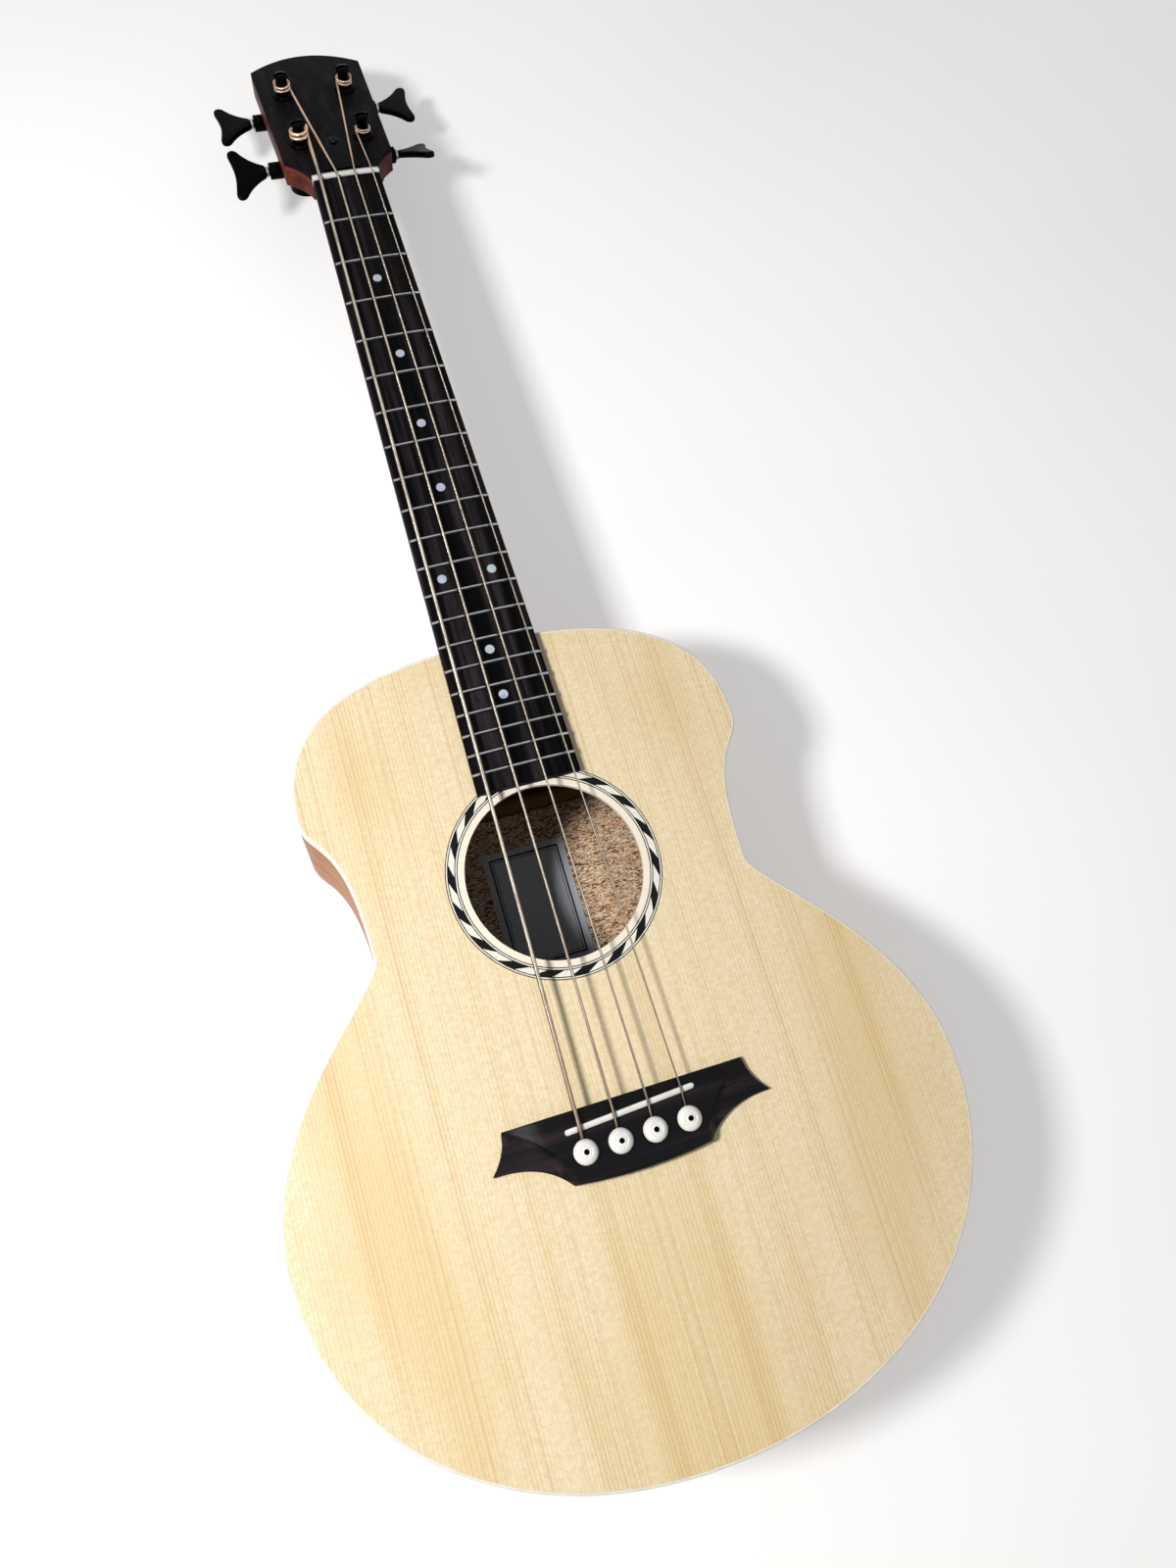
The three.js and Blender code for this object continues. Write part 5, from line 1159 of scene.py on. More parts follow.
BRIDGE_FRONT_CORNER = (BRIDGE_FRONT_SPAN / 2, BRIDGE_FRONT_Y)
END_CURVE = bridge_curve(
    "end", BRIDGE_FRONT_CORNER, BRIDGE_TIP_Y / 2, (BRIDGE_TIP_SPAN / 2, BRIDGE_TIP_Y + BRIDGE_TIP_WIDTH / 2),
    BRIDGE_FRONT_SPAN, BRIDGE_TIP_SPAN,
)
BACK_CURVE = bridge_curve(
    "back", (BRIDGE_BACK_SPAN / 2, BRIDGE_BACK_Y), BRIDGE_TIP_Y,
    (BRIDGE_TIP_SPAN / 2, BRIDGE_TIP_Y - BRIDGE_TIP_WIDTH / 2), BRIDGE_BACK_SPAN, BRIDGE_TIP_SPAN,
)
RIDGE_CURVE = bridge_curve(
    "ridge", (BRIDGE_BACK_SPAN / 2 - BRIDGE_ROUND, BRIDGE_BACK_Y + BRIDGE_ROUND), BRIDGE_TIP_Y / 2,
    BRIDGE_FRONT_CORNER, BRIDGE_BACK_SPAN, BRIDGE_FRONT_SPAN,
)


def curve_y(curve, x):
    """A curve's y where it passes an x. The curve runs steadily outwards."""
    low, high = 0, 1
    for _ in range(CURVE_SEARCH_STEPS):
        middle = (low + high) / 2
        if bezier(curve, middle).x < x:
            low = middle
        else:
            high = middle
    return bezier(curve, low).y


def bridge_section(x):
    """One crosswise section of the bridge, from its front foot over the top or a wing to its back foot."""
    reach = abs(x)
    front_y = BRIDGE_FRONT_Y if reach < BRIDGE_FRONT_SPAN / 2 else curve_y(END_CURVE, reach)
    share = reach / (BRIDGE_BACK_SPAN / 2)
    back_y = BRIDGE_BACK_Y - BRIDGE_BACK_BULGE * (1 - share * share)
    if share >= 1:
        back_y = curve_y(BACK_CURVE, reach)
    ridge_start = RIDGE_CURVE[0].x
    ridge_y = back_y + BRIDGE_ROUND
    if reach >= ridge_start:
        ridge_y = min(curve_y(RIDGE_CURVE, reach), front_y)
    flat_half = BRIDGE_FLAT_SPAN / 2
    scoop = smoothstep(reach, ridge_start, flat_half)
    slope = smoothstep(reach, flat_half, BRIDGE_TIP_SPAN / 2)
    wing = lerp(BRIDGE_WING_THICKNESS, BRIDGE_TIP_THICKNESS, slope)
    top = wing
    if reach < BRIDGE_FRONT_SPAN / 2:
        slope = smoothstep(reach, flat_half, BRIDGE_FRONT_SPAN / 2)
        top = lerp(BRIDGE_THICKNESS, BRIDGE_FRONT_CORNER_THICKNESS, slope)
    edge = lerp(BRIDGE_THICKNESS - BRIDGE_ROUND, wing, scoop)
    profile = [(front_y, 0)]
    profile += [(lerp(front_y, ridge_y, back), top - drop) for back, drop in BRIDGE_FRONT_ROUND]
    profile.append((ridge_y, top))
    for k in range(1, BRIDGE_HOLLOW_STEPS + 1):
        share = (k / BRIDGE_HOLLOW_STEPS) ** BRIDGE_HOLLOW_SPACING
        y = lerp(ridge_y, back_y, share)
        rounded_z = edge + (top - edge) * math.sqrt(max(1 - share * share, 0))
        scooped_z = wing + (top - wing) * (1 - share) ** BRIDGE_HOLLOW_POWER
        profile.append((y, lerp(rounded_z, scooped_z, scoop)))
    profile.append((back_y, 0))
    return [Vector((x, y, z)) for y, z in profile]


def bridge():
    half = [0, BRIDGE_BACK_SPAN / 6, BRIDGE_BACK_SPAN / 3, RIDGE_CURVE[0].x, BRIDGE_BACK_SPAN / 2]
    for from_span, to_span, steps in (
        (BRIDGE_BACK_SPAN, BRIDGE_FRONT_SPAN, BRIDGE_WING_STEPS),
        (BRIDGE_FRONT_SPAN, BRIDGE_TIP_SPAN, BRIDGE_TIP_STEPS),
    ):
        half += [bulge_x(from_span, to_span, k / steps) for k in range(1, steps + 1)]
    stations = [-x for x in reversed(half[1:])] + half
    piece = new_object("bridge_body", loft([bridge_section(x) for x in stations]))
    slot = saddle_bar(RUNNING_FIT / 4, [(1, 0), (-1, 0)], SADDLE_SLOT_FLOOR, BRIDGE_THICKNESS + OVERRUN)
    cut(piece, [slot, *pin_and_string_bores()])
    dress(piece, BRIDGE_WOOD, replaces=["bridge"], crease=math.radians(24))


def saddle_bar(grow, crown_shares, floor, top):
    """A bar with round ends in the saddle's place. The shares shape its crown across its thickness."""
    radius = SADDLE_THICKNESS / 2 + grow
    straight = (SADDLE_LENGTH - SADDLE_THICKNESS) / 2
    half = [(straight * k / SADDLE_MIDDLE_STEPS, radius) for k in range(SADDLE_MIDDLE_STEPS + 1)]
    for k in range(1, SADDLE_END_STEPS + 1):
        angle = math.pi / 2 * k / (SADDLE_END_STEPS + 0.5)
        half.append((straight + radius * math.sin(angle), radius * math.cos(angle)))
    stations = [(-x, thick) for x, thick in reversed(half[1:])] + half
    rows = []
    for x, thick in stations:
        row = [Vector((x, -thick, floor)), Vector((x, thick, floor))]
        crest = top - crown_drop(x)
        row += [Vector((x, share * thick, crest - drop * SADDLE_CROWN)) for share, drop in crown_shares]
        rows.append(row)
    turn = Matrix.Translation((0, SADDLE_Y, 0)) @ Matrix.Rotation(SADDLE_SLANT, 4, "Z")
    return moved(loft(rows), turn)


def saddle():
    piece = new_object("saddle_bar", saddle_bar(0, SADDLE_CROWN_SHARES, SADDLE_SLOT_FLOOR, SADDLE_HEIGHT))
    dress(piece, BONE, replaces=["saddle"], crease=math.radians(50))


def bridge_pins():
    rim_z = BRIDGE_THICKNESS + PIN_HEAD_LIFT
    dot_z = rim_z + PIN_HEAD_SHARES[-1][1] * PIN_HEAD_HEIGHT
    profile = [(0, -PIN_REACH), (PIN_TIP_RADIUS, -PIN_REACH), (PIN_RADIUS, rim_z)]
    profile += part_of(PIN_HEAD_SHARES, PIN_HEAD_RADIUS, rim_z, rim_z + PIN_HEAD_HEIGHT)
    profile.append((0, dot_z))
    dot = part_of(PIN_DOT_SHARES, PIN_DOT_RADIUS, dot_z, dot_z + PIN_DOT_HEIGHT)
    for index, name in enumerate(STRINGS):
        place = LEVEL @ Matrix.Translation((saddle_x(index), PIN_Y, 0))
        pin = new_object(f"pin_{name}", turned(profile), place)
        cut(pin, [string_form(name, index, RUNNING_FIT)])
        dress(pin, BONE, replaces=[f"bridge_pin_{name}"])
        centre = new_object(f"pin_dot_{name}", turned(dot), place)
        dress(centre, BLACK_PLASTIC)


# Fretboard and nut


def fretboard():
    rows = []
    for y in (FRETBOARD_END_Y, FRETBOARD_END_Y + FRETBOARD_EDGE_ROUND, SCALE_LENGTH):
        half = fretboard_half_width(y)
        flat_half = half - FRETBOARD_EDGE_ROUND
        height = FRETBOARD_THICKNESS - (FRETBOARD_EDGE_ROUND if y == FRETBOARD_END_Y else 0)
        shoulder = height - crown_drop(half) - FRETBOARD_EDGE_ROUND
        profile = [(half, 0), (-half, 0), (-half, shoulder)]
        for k in range(FRETBOARD_FACETS + 1):
            x = lerp(-flat_half, flat_half, k / FRETBOARD_FACETS)
            profile.append((x, height - crown_drop(x)))
        profile.append((half, shoulder))
        rows.append([Vector((x, y, z)) for x, z in profile])
    piece = new_object("fingerboard", loft(rows))
    dress(piece, ROSEWOOD, replaces=["fretboard"])
    frets()
    position_dots()


def frets():
    """Crowned wires that follow the board's curve. Painted highlight on their crowns, painted shade on the
    flanks.
    """
    angles = [math.pi * k / FRET_ARCH_STEPS for k in range(FRET_ARCH_STEPS + 1)]
    wires = []
    for fret in range(1, FRET_COUNT + 1):
        y = fret_y(fret)
        half = fretboard_half_width(y)
        rows = []
        for k in range(FRET_STEPS + 1):
            x = lerp(-half, half, k / FRET_STEPS)
            height = FRET_HEIGHT * (FRET_END_SHARE if k in (0, FRET_STEPS) else 1)
            base = FRETBOARD_THICKNESS - crown_drop(x)
            row = [Vector((x, y + math.cos(a) * FRET_WIDTH / 2, base + math.sin(a) * height)) for a in angles]
            row[0].z = base - FRET_FOOT_DEPTH
            row[-1].z = base - FRET_FOOT_DEPTH
            rows.append(row)
        wires.append(loft(rows))
    piece = new_object("fret_wires", joined(*wires))
    dress(piece, SHADED_FRET_FLANK, crease=math.radians(50))
    # The flanks carry painted shade; faces that look up more than the slope get the painted highlight
    piece.data.materials.append(HIGHLIT_FRET_CROWN)
    for face in piece.data.polygons:
        if face.normal.z > FRET_CROWN_SLOPE:
            face.material_index = 1


def position_dots():
    places = [(0, fret) for fret in DOT_FRETS]
    places += [(-DOUBLE_DOT_X, DOUBLE_DOT_FRET), (DOUBLE_DOT_X, DOUBLE_DOT_FRET)]
    discs = []
    for x, fret in places:
        y = (fret_y(fret) + fret_y(fret - 1)) / 2
        top = FRETBOARD_THICKNESS - crown_drop(x) + DOT_LIFT
        tilt = Matrix.Rotation(x / FRETBOARD_RADIUS, 4, "Y")
        discs.append(shifted(moved(round_bar(DOT_RADIUS, -DOT_THICKNESS, 0), tilt), x, y, top))
    piece = new_object("position_dots", joined(*discs))
    dress(piece, PEARL)


def nut():
    top = NUT_STRING_HEIGHT + min(string["diameter"] for string in STRINGS.values()) / 2
    rows = []
    for k in range(NUT_FACETS + 1):
        x = lerp(-NUT_WIDTH, NUT_WIDTH, k / NUT_FACETS) / 2
        crest = top - crown_drop(x) - (NUT_END_DROP if k in (0, NUT_FACETS) else 0)
        profile = [(share, crest - drop * NUT_BACK_DROP) for share, drop in NUT_CREST_SHARES]
        profile = [(0, 0), *profile, (1, 0)]
        rows.append([Vector((x, lerp(SCALE_LENGTH, NUT_FRONT_Y, share), z)) for share, z in profile])
    piece = new_object("string_nut", loft(rows))
    cut(piece, [string_form(name, index, RUNNING_FIT / 4) for index, name in enumerate(STRINGS)])
    dress(piece, BONE, replaces=["nut"], crease=math.radians(40))


# Neck and head


def neck_section(y, half, depth, roundness, top=0, taper=0):
    """One crosswise section of the neck: flat on top and round below."""
    row = []
    for k in range(NECK_SECTION_STEPS + 1):
        angle = math.pi * k / NECK_SECTION_STEPS
        down = max(math.sin(angle), 0) ** roundness
        across = math.copysign(abs(math.cos(angle)) ** roundness, math.cos(angle))
        row.append(Vector((half * across * (1 - taper * down), y, top - depth * down)))
    return row


def heel_row(y, share):
    drop = 1 - math.sqrt(1 - share * share)
    return neck_section(
        y,
        fretboard_half_width(y),
        lerp(NECK_DEPTH_AT_HEEL, HEEL_CAP_DEPTH, drop),
        lerp(SHAFT_ROUNDNESS, HEEL_ROUNDNESS, drop),
        taper=HEEL_TAPER * drop,
    )


def neck_shaft():
    curve_end_y = BODY_NECK_Y + HEEL_CAP_LENGTH + HEEL_CURVE_LENGTH
    face_drop = HEAD_RUN_LENGTH * math.tan(HEAD_ANGLE)
    bottom_drop = face_drop + HEAD_THICKNESS / math.cos(HEAD_ANGLE)
    rows = [heel_row(BODY_NECK_Y, 1)]
    for k in reversed(range(HEEL_CURVE_STEPS + 1)):
        share = math.sin(math.pi / 2 * k / HEEL_CURVE_STEPS)
        rows.append(heel_row(curve_end_y - share * HEEL_CURVE_LENGTH, share))
    rows.append(neck_section(NUT_FRONT_Y, NUT_WIDTH / 2, NECK_DEPTH_AT_NUT, SHAFT_ROUNDNESS))
    rows.append(neck_section(
        NUT_FRONT_Y + HEAD_RUN_LENGTH,
        NUT_WIDTH / 2 - HEAD_RUN_INSET,
        bottom_drop - face_drop - 2 * HEAD_RUN_COVER,
        SHAFT_ROUNDNESS,
        top=-face_drop - HEAD_RUN_COVER,
    ))
    return loft(rows)


def head_outline():
    start = Vector((NUT_WIDTH / 2, 0))
    shoulder = Vector((HEAD_SHOULDER_WIDTH / 2, HEAD_SHOULDER_Y))
    corner = Vector((HEAD_TOP_WIDTH / 2, HEAD_LENGTH - HEAD_ARCH))
    waist_x = lerp(start.x, shoulder.x, HEAD_WAIST_SHARES["across"])
    waist = Vector((waist_x, HEAD_WAIST_SHARES["along"] * HEAD_SHOULDER_Y))
    crest = Vector((0, corner.y + 2 * HEAD_ARCH))
    right = [start, *bezier_run([start, waist, shoulder], CURVE_STEPS), corner]
    arch = bezier_run([corner, crest, Vector((-corner.x, corner.y))], 2 * CURVE_STEPS)
    return right + arch + mirrored(right[:-1])


def post_holes():
    low, high = -HEAD_THICKNESS - OVERRUN, VENEER_THICKNESS + OVERRUN
    hole = round_bar(BUSHING_SLEEVE_RADIUS + RUNNING_FIT, low, high)
    return [shifted(hole, string["side"] * POST_X, POST_ROWS[string["row"]]) for string in STRINGS.values()]


def neck():
    piece = new_object("neck_shaft", neck_shaft())
    plate = new_object("helper_plate", slab(head_outline(), -HEAD_THICKNESS, 0), HEAD)
    merge(piece, "UNION", [rounded(plate, SLIGHT_ROUND)])
    cut(piece, post_holes(), HEAD)
    dress(piece, NECK_WOOD, replaces=["neck"])


def veneer():
    piece = rounded(new_object("head_face", slab(head_outline(), 0, VENEER_THICKNESS), HEAD), SLIGHT_ROUND)
    cut(piece, post_holes(), HEAD)
    dress(piece, HEAD_WOOD, replaces=["headstock_veneer"])


def rod_cover():
    foot = Vector((COVER_WIDTH / 2, 0))
    tip_x = COVER_TIP_WIDTH / 2
    waist = Vector((lerp(tip_x, foot.x, COVER_WAIST_SHARE), COVER_LENGTH / 2))
    right = [foot, *bezier_run([foot, Vector((foot.x, COVER_LENGTH / 4)), waist], CURVE_STEPS)]
    right += bezier_run([waist, Vector((tip_x, COVER_LENGTH)), Vector((0, COVER_LENGTH))], CURVE_STEPS)
    form = slab(right + mirrored(right[:-1]), COVER_GAP, COVER_THICKNESS + GLUE_LINE)
    place = HEAD @ Matrix.Translation((0, COVER_START, VENEER_THICKNESS))
    piece = rounded(new_object("rod_cover", form, place), SLIGHT_ROUND)
    dress(piece, BLACK_PLASTIC, replaces=["truss_rod_cover"])


def cover_screw():
    seat = VENEER_THICKNESS + 2 * GLUE_LINE + COVER_THICKNESS
    point = (0, GLUE_LINE - SCREW_LENGTH)
    profile = [point, (SCREW_RADIUS, SCREW_RADIUS - SCREW_LENGTH), (SCREW_RADIUS, seat)]
    profile += part_of(SCREW_HEAD_SHARES, SCREW_HEAD_RADIUS, seat, seat + SCREW_HEAD_HEIGHT)
    place = HEAD @ Matrix.Translation((0, SCREW_Y, 0))
    piece = new_object("rod_cover_screw", turned(profile), place)
    reach = SCREW_SLOT_SHARE * SCREW_HEAD_RADIUS
    slot = block((-reach, -SCREW_SLOT_WIDTH / 2, seat + SCREW_HEAD_HEIGHT / 2),
                 (reach, SCREW_SLOT_WIDTH / 2, seat + OVERRUN))
    cut(piece, [slot, moved(slot, Matrix.Rotation(math.pi / 2, 4, "Z"))], place)
    dress(piece, DARK_STEEL, replaces=["cover_screw"])


# Tuners: each is drawn with its post on the z axis and its key along +x, on the post's side towards the nut.
# On the head it is mirrored, so the key lies past the post, and on the -x side it points outwards.


def tooth_half_angle(radius):
    """Half the angle that an involute tooth fills at a radius. Below the base circle its flank is radial."""
    def involute(angle):
        return math.tan(angle) - angle

    base_radius = WHEEL_PITCH_RADIUS * math.cos(PRESSURE_ANGLE)
    pressure_at = math.acos(min(base_radius / radius, 1))
    half_thickness = TOOTH_PITCH / 4 - GEAR_CLEARANCE
    return half_thickness / WHEEL_PITCH_RADIUS + involute(PRESSURE_ANGLE) - involute(pressure_at)


def worm_wheel():
    root = WHEEL_PITCH_RADIUS - TOOTH_ROOT_DEPTH
    tip = WHEEL_PITCH_RADIUS + GEAR_MODULE - GEAR_CLEARANCE
    flank = [(radius, tooth_half_angle(radius)) for radius in (root, WHEEL_PITCH_RADIUS, tip)]
    lead = TOOTH_PITCH / (2 * math.pi * WORM_PITCH_RADIUS)
    rows = []
    for layer in range(WHEEL_LAYERS + 1):
        height = WHEEL_WIDTH * (layer / WHEEL_LAYERS - 0.5)
        lean = lead * height / WHEEL_PITCH_RADIUS
        row = []
        for tooth in range(WHEEL_TEETH):
            middle = 2 * math.pi * (tooth + 0.5) / WHEEL_TEETH - math.pi / 2 + lean
            corners = [(radius, middle - half) for radius, half in flank]
            corners += [(radius, middle + half) for radius, half in reversed(flank)]
            row += [Vector((r * math.cos(a), r * math.sin(a), WORM_DROP + height)) for r, a in corners]
        rows.append(row)
    return loft(rows)


def post_profile():
    collar = BUSHING_TOP + RUNNING_FIT
    rim_top = POST_TOP - POST_DOME_HEIGHT
    flange = rim_top - POST_FLANGE_THICKNESS
    foot = WORM_DROP - WHEEL_WIDTH / 2
    core = WHEEL_PITCH_RADIUS / 2
    return [
        (0, foot - JOURNAL_LENGTH), (JOURNAL_RADIUS, foot - JOURNAL_LENGTH),
        (JOURNAL_RADIUS, foot + GLUE_LINE), (core, foot + GLUE_LINE),
        (core, WORM_DROP), (POST_RADIUS, WORM_DROP), (POST_RADIUS, collar),
        (WINDING_RADIUS, collar), (WINDING_RADIUS, flange - POST_THROAT),
        (WINDING_RADIUS + POST_FLANGE_INSET, flange), (POST_FLANGE_RADIUS, flange + POST_FLANGE_ROUND),
        (POST_FLANGE_RADIUS, rim_top - POST_FLANGE_ROUND),
        (POST_FLANGE_RADIUS - POST_FLANGE_INSET, rim_top + POST_FLANGE_ROUND / 2),
        (POST_FLANGE_RADIUS / 2, POST_TOP), (0, POST_TOP),
    ]


def tuner_post(name, place):
    piece = new_object(f"post_{name}", turned(post_profile()), place)
    add(piece, [worm_wheel()], place)
    reach = POST_FLANGE_RADIUS + OVERRUN
    half = POST_SLOT_WIDTH / 2
    slot = block((-reach, -half, POST_TOP - POST_SLOT_DEPTH), (reach, half, POST_TOP + OVERRUN))
    bore = round_bar(POST_BORE_RADIUS, POST_TOP - POST_BORE_DEPTH, POST_TOP + OVERRUN)
    cut(piece, [slot, bore], place)
    dress(piece, BLACK_METAL, body=f"post_{name}", replaces=[f"tuner_post_{name}"])


def on_key(form):
    """Turns a form drawn round the z axis onto the key's axis."""
    return moved(form, Matrix.Translation((0, WORM_Y, WORM_DROP)) @ Matrix.Rotation(math.pi / 2, 4, "Y"))


def worm_thread():
    """A rack tooth swept round the key's shaft."""
    def half_width(radius):
        return TOOTH_PITCH / 4 - (radius - WORM_PITCH_RADIUS) * math.tan(PRESSURE_ANGLE)

    root = WORM_ROOT_RADIUS - 2 * GEAR_CLEARANCE
    tip = WORM_OUTER_RADIUS
    corners = [(-half_width(root), root), (-half_width(tip), tip)]
    corners += [(half_width(tip), tip), (half_width(root), root)]
    rows = []
    for k in range(WORM_TURNS * WORM_STEPS + 1):
        turn = k / WORM_STEPS - WORM_TURNS / 2
        along = TOOTH_PITCH * turn
        across = math.cos(2 * math.pi * turn)
        up = math.sin(2 * math.pi * turn)
        rows.append([Vector((along + x, WORM_Y + r * across, WORM_DROP + r * up)) for x, r in corners])
    return loft(rows)


def key_shaft():
    journal = -WORM_SPACE - JOURNAL_LENGTH
    half = WORM_HALF_LENGTH
    tip = KEY_START + KEY_RING_LENGTH + KEY_SHAFT_RADIUS
    return on_key(turned([
        (0, journal), (JOURNAL_RADIUS, journal), (JOURNAL_RADIUS, -half), (WORM_ROOT_RADIUS, -half),
        (WORM_ROOT_RADIUS, half), (KEY_SHAFT_RADIUS, half), (KEY_SHAFT_RADIUS, tip), (0, tip),
    ]))


def key_leaf_outline():
    def at(share_x, share_y):
        return Vector((share_x * KEY_LENGTH, share_y * KEY_SPAN / 2))

    upper = [at(0, KEY_HUB_SHARE)]
    for shares in KEY_LOBE_SHARES:
        upper += bezier_run([upper[-1], *(at(*share) for share in shares)], CURVE_STEPS // 2)
    return upper + [Vector((x, -y)) for x, y in reversed(upper[:-1])]


def tuner_key(name, place, lift):
    body = f"key_{name}"
    piece = new_object(f"key_leaf_{name}", key_shaft(), place)
    add(piece, [worm_thread()], place)
    start, end = KEY_START, KEY_START + KEY_RING_LENGTH
    leaf = slab(key_leaf_outline(), -KEY_THICKNESS / 2, KEY_THICKNESS / 2)
    leaf = moved(leaf, Matrix.Rotation(-math.radians(lift), 4, "X"))
    blade = new_object("helper_leaf", shifted(leaf, end, WORM_Y, WORM_DROP), place)
    merge(piece, "UNION", [rounded(blade, KEY_ROUND_SHARE * KEY_THICKNESS, KEY_ROUND_SEGMENTS)])
    dress(piece, BLACK_METAL, body=body, replaces=[f"tuner_key_{name}"])
    soft = KEY_RING_ROUND
    washer = [
        (KEY_SHAFT_RADIUS, start), (KEY_RING_RADIUS - soft, start), (KEY_RING_RADIUS, start + soft),
        (KEY_RING_RADIUS, end - soft), (KEY_RING_RADIUS - soft, end), (KEY_SHAFT_RADIUS, end),
    ]
    ring = new_object(f"key_ring_{name}", on_key(turned(washer)), place)
    dress(ring, STEEL, body=body)


def housing_outline():
    wheel_pocket = WHEEL_PITCH_RADIUS + GEAR_MODULE + 2 * RUNNING_FIT
    round_radius = wheel_pocket + HOUSING_WALL
    half = WORM_HALF_LENGTH + 2 * RUNNING_FIT + JOURNAL_LENGTH + HOUSING_WALL
    wall_x = min(half, round_radius - HOUSING_WALL)
    meet = -math.acos(wall_x / round_radius)
    low_y = WORM_Y - WORM_POCKET_RADIUS - HOUSING_WALL
    arc = [lerp(meet, math.pi - meet, k / HOUSING_ARC_STEPS) for k in range(HOUSING_ARC_STEPS + 1)]
    outline = [Vector((round_radius * math.cos(a), round_radius * math.sin(a))) for a in arc]
    side_end = Vector((wall_x, low_y + HOUSING_CORNER_RADIUS))
    foot_end = Vector((wall_x - HOUSING_CORNER_RADIUS, low_y))
    corner = [foot_end, *bezier_run([foot_end, Vector((wall_x, low_y)), side_end], HOUSING_CORNER_STEPS)]
    return outline + mirrored(corner) + corner, wall_x, wheel_pocket


def tuner_housing(name, place):
    outline, wall_x, wheel_pocket = housing_outline()
    piece = new_object(f"housing_{name}", slab(outline, HOUSING_BOTTOM, HOUSING_TOP), place)
    rounded(piece, HOUSING_ROUND)
    barrel = [
        (0, wall_x / 2), (BARREL_RADIUS, wall_x / 2), (BARREL_RADIUS, BARREL_END - BARREL_ROUND),
        (BARREL_RADIUS - BARREL_ROUND, BARREL_END), (0, BARREL_END),
    ]
    add(piece, [on_key(turned(barrel))], place)
    wheel_space = WHEEL_WIDTH / 2 + 2 * RUNNING_FIT
    cut(piece, [
        round_bar(wheel_pocket, WORM_DROP - wheel_space, WORM_DROP + wheel_space),
        round_bar(JOURNAL_RADIUS + RUNNING_FIT, WORM_DROP - wheel_space - JOURNAL_LENGTH, WORM_DROP),
        round_bar(POST_RADIUS + RUNNING_FIT, WORM_DROP, HOUSING_TOP + OVERRUN),
        on_key(round_bar(WORM_POCKET_RADIUS, -WORM_SPACE, WORM_SPACE)),
        on_key(round_bar(JOURNAL_RADIUS + RUNNING_FIT, -WORM_SPACE - JOURNAL_LENGTH - RUNNING_FIT, 0)),
        on_key(round_bar(KEY_SHAFT_RADIUS + RUNNING_FIT, 0, BARREL_END + OVERRUN)),
    ], place)
    dress(piece, BLACK_METAL, replaces=[f"tuner_housing_{name}"])


def tuner_bushing(name, place):
    seat = VENEER_THICKNESS + BUSHING_SEAT_GAP
    foot = BUSHING_TOP - BUSHING_SLEEVE_LENGTH
    bore = POST_RADIUS + RUNNING_FIT
    profile = [(bore, foot), (BUSHING_SLEEVE_RADIUS, foot), (BUSHING_SLEEVE_RADIUS, seat)]
    profile += part_of(BUSHING_SHARES, BUSHING_FLANGE_RADIUS, seat, BUSHING_TOP)
    profile.append((bore, BUSHING_TOP))
    piece = new_object(f"bushing_{name}", turned(profile), place)
    dress(piece, BLACK_METAL, replaces=[f"tuner_bushing_{name}"])


def tuners():
    for name, string in STRINGS.items():
        side = string["side"]
        foot = Matrix.Translation((side * POST_X, POST_ROWS[string["row"]], 0))
        place = HEAD @ foot @ Matrix.Diagonal((side, -1, 1, 1))
        tuner_housing(name, place)
        tuner_key(name, place, string["key_lift"])
        tuner_post(name, place)
        tuner_bushing(name, place)


# Strap button


def button_place(form):
    height = back_at(BODY_TAIL_Y) / 2
    return moved(form, Matrix.Translation((0, BODY_TAIL_Y, height)) @ Matrix.Rotation(math.pi / 2, 4, "X"))


def strap_button():
    profile = [(0, -BUTTON_REACH), (BUTTON_SHANK_RADIUS, -BUTTON_REACH), (BUTTON_SHANK_RADIUS, GLUE_LINE)]
    profile += part_of(BUTTON_SHARES, BUTTON_FLANGE_RADIUS, GLUE_LINE, BUTTON_LENGTH)
    piece = new_object("tail_button", button_place(turned(profile)))
    dress(piece, BLACK_PLASTIC, replaces=["strap_button"])


# CAD nodes that keep their shape and get a finish


def dress_nodes():
    # Linings, blocks and plates inside the body get the dark inner wood, painted shade
    finishes = {"lining": SHADED_INNER_WOOD, "block": SHADED_INNER_WOOD, "plate": SHADED_INNER_WOOD, "brace": BRACE_WOOD,
                "tone_bar": BRACE_WOOD, "label": label_paper(), "truss_rod": STEEL}
    for name, node in frame["nodes"].items():
        if not node.hide_render:
            node.data.materials.clear()
            node.data.materials.append(next(look for part, look in finishes.items() if part in name))


# Studio

# The camera was fitted to the photograph. Its place and directions are those of the level soundboard.
CAMERA_PLACE = Vector((-106.18, 6.34, 625.39))
CAMERA_FORWARD = Vector((0.20954924, 0.24574712, -0.94641295))
CAMERA_UP = Vector((0.24355908, 0.92427605, 0.29392645))
CAMERA_LENS = 27
CAMERA_CLIP_START = 0.01
# The rest is in the frame's metres
FLOOR_SIZE = 6
FLOOR_DROP = 0.0002
FLOOR_GLOW = 0.4
FILL_STRENGTH = 0.2
LAMPS = {
    "key_light": {"place": (-0.66, 0.15, 0.93), "aim": (0, 0.1, 0.08), "size": 0.16, "watts": 11.3},
    "soft_light": {"place": (0.9, -1.1, 1.8), "aim": (0, 0.2, 0), "size": 1.6, "watts": 1.2},
}


def camera():
    back = -CAMERA_FORWARD.normalized()
    right = CAMERA_UP.cross(back).normalized()
    up = back.cross(right)
    turn = Matrix.Rotation(-TAPER_ANGLE, 3, "X") @ Matrix((right, up, back)).transposed()
    lens = bpy.data.cameras.new("camera")
    lens.lens = CAMERA_LENS
    lens.clip_start = CAMERA_CLIP_START
    holder = linked("camera", lens)
    holder.matrix_world = Matrix.Translation(LEVEL @ CAMERA_PLACE) @ turn.to_4x4()
    bpy.context.scene.camera = holder


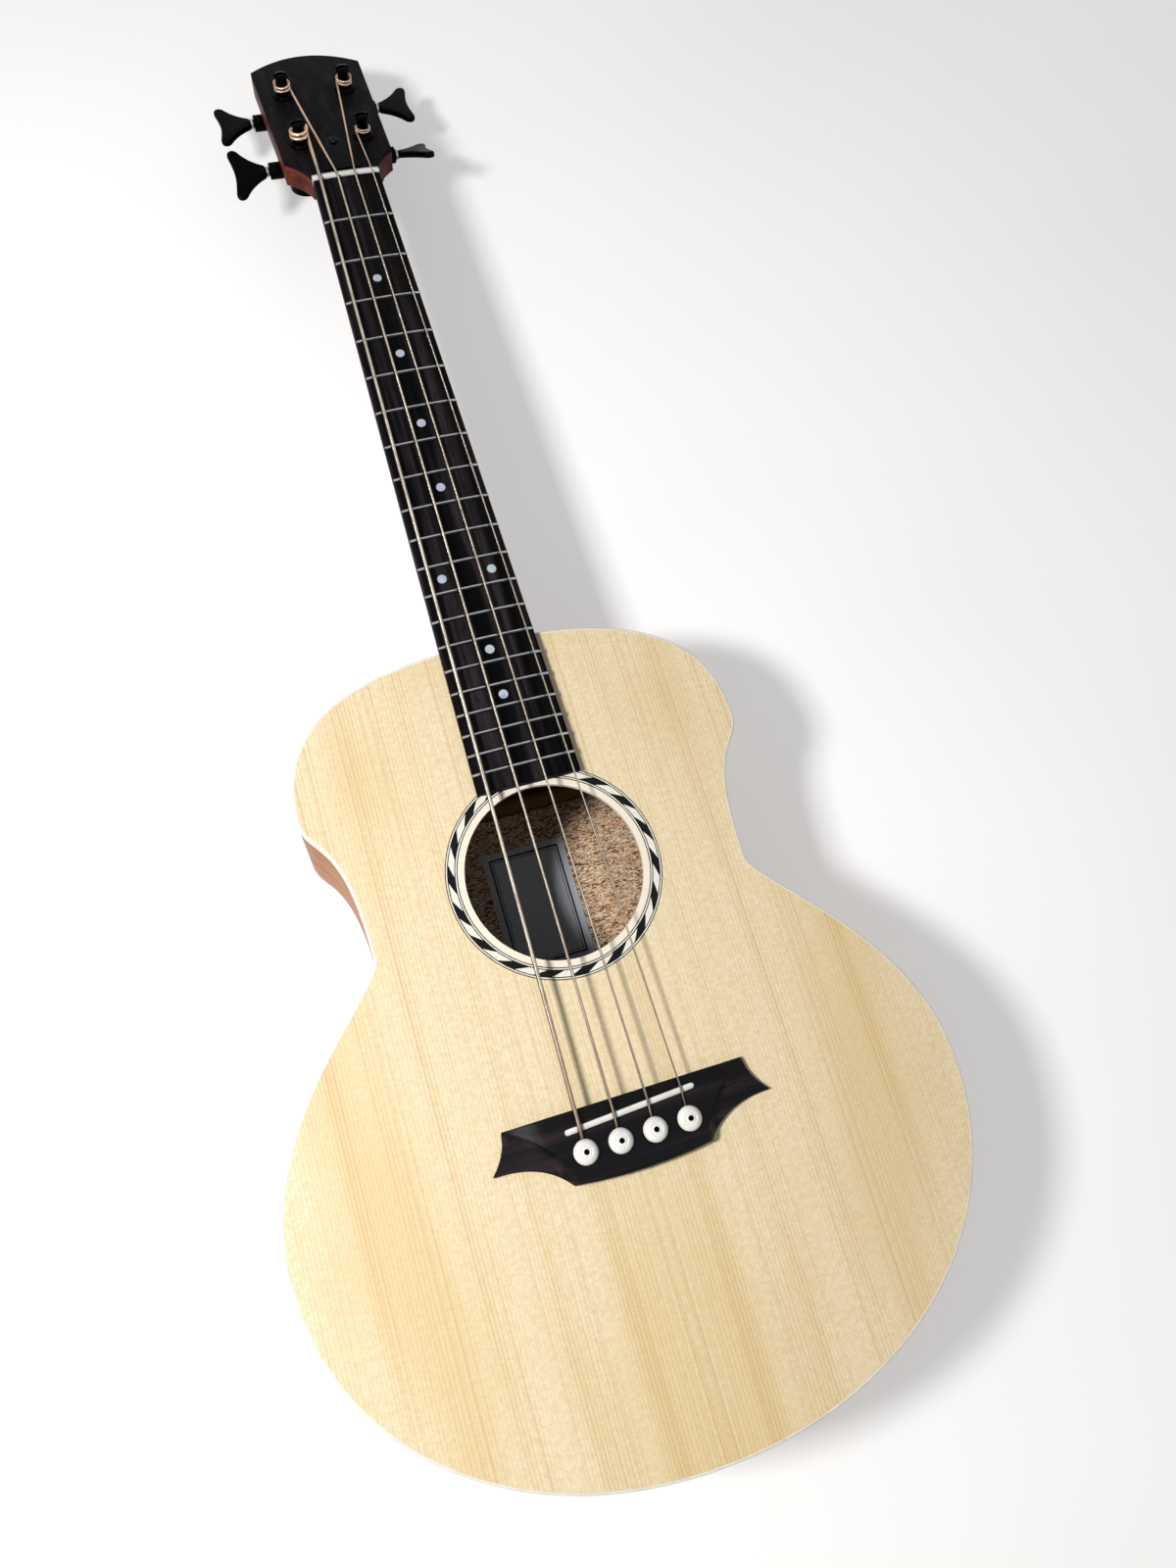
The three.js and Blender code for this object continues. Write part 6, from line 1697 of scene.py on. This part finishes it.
def lamps():
    for name, lamp in LAMPS.items():
        light = bpy.data.lights.new(name, "AREA")
        light.size = lamp["size"]
        light.energy = lamp["watts"]
        holder = linked(name, light)
        holder.location = lamp["place"]
        holder.rotation_euler = (Vector(lamp["aim"]) - holder.location).to_track_quat("-Z", "Y").to_euler()


def world():
    """White to the camera, to reflections and through glass, and a dim fill for all other light."""
    studio_world = bpy.data.worlds.new("studio")
    studio_world.use_nodes = True
    bpy.context.scene.world = studio_world
    nodes = Nodes(studio_world.node_tree)
    fill = nodes.tree.nodes["Background"]
    nodes.feed(fill.inputs["Color"], WHITE)
    nodes.feed(fill.inputs["Strength"], FILL_STRENGTH)
    path = nodes.add("ShaderNodeLightPath", {}).outputs
    seen = nodes.maths("MAXIMUM", path["Is Camera Ray"], path["Is Glossy Ray"])
    seen = nodes.maths("MAXIMUM", seen, path["Is Transmission Ray"])
    white = nodes.add("ShaderNodeBackground", {"Color": WHITE, "Strength": 1})
    shown = nodes.add("ShaderNodeMixShader", {0: seen, 1: fill.outputs[0], 2: white.outputs[0]})
    nodes.feed(nodes.tree.nodes["World Output"].inputs["Surface"], shown.outputs[0])


def floor():
    """A pale floor that glows a little, to the camera alone."""
    half = FLOOR_SIZE / 2
    corners = [(x * half, y * half, -FLOOR_DROP) for x, y in ((-1, -1), (1, -1), (1, 1), (-1, 1))]
    mesh = bpy.data.meshes.new("floor")
    mesh.from_pydata(corners, [], [(0, 1, 2, 3)])
    finish = Finish("pale_floor", 0.7)
    finish.set("Base Color", finish.tint("e9e8e6", "e2e1df", finish.noise((3, 3, 3), 2), 0.3, 0.8))
    seen = finish.add("ShaderNodeLightPath", {}).outputs["Is Camera Ray"]
    finish.set("Emission Strength", finish.maths("MULTIPLY", seen, FLOOR_GLOW))
    finish.set("Emission Color", WHITE)
    mesh.materials.append(finish.material)
    linked("floor", mesh)


camera()
soundboard()
rosette()
binding("top_binding_edge", level_at(0), -1, SOUNDBOARD_THICKNESS)
binding("back_binding_edge", back_at, 1, BACK_THICKNESS)
bent_sides()
back_plate()
bridge()
saddle()
bridge_pins()
strings()
fretboard()
nut()
neck()
veneer()
rod_cover()
cover_screw()
tuners()
strap_button()
dress_nodes()
world()
lamps()
floor()
bpy.context.scene.view_settings.view_transform = "Standard"
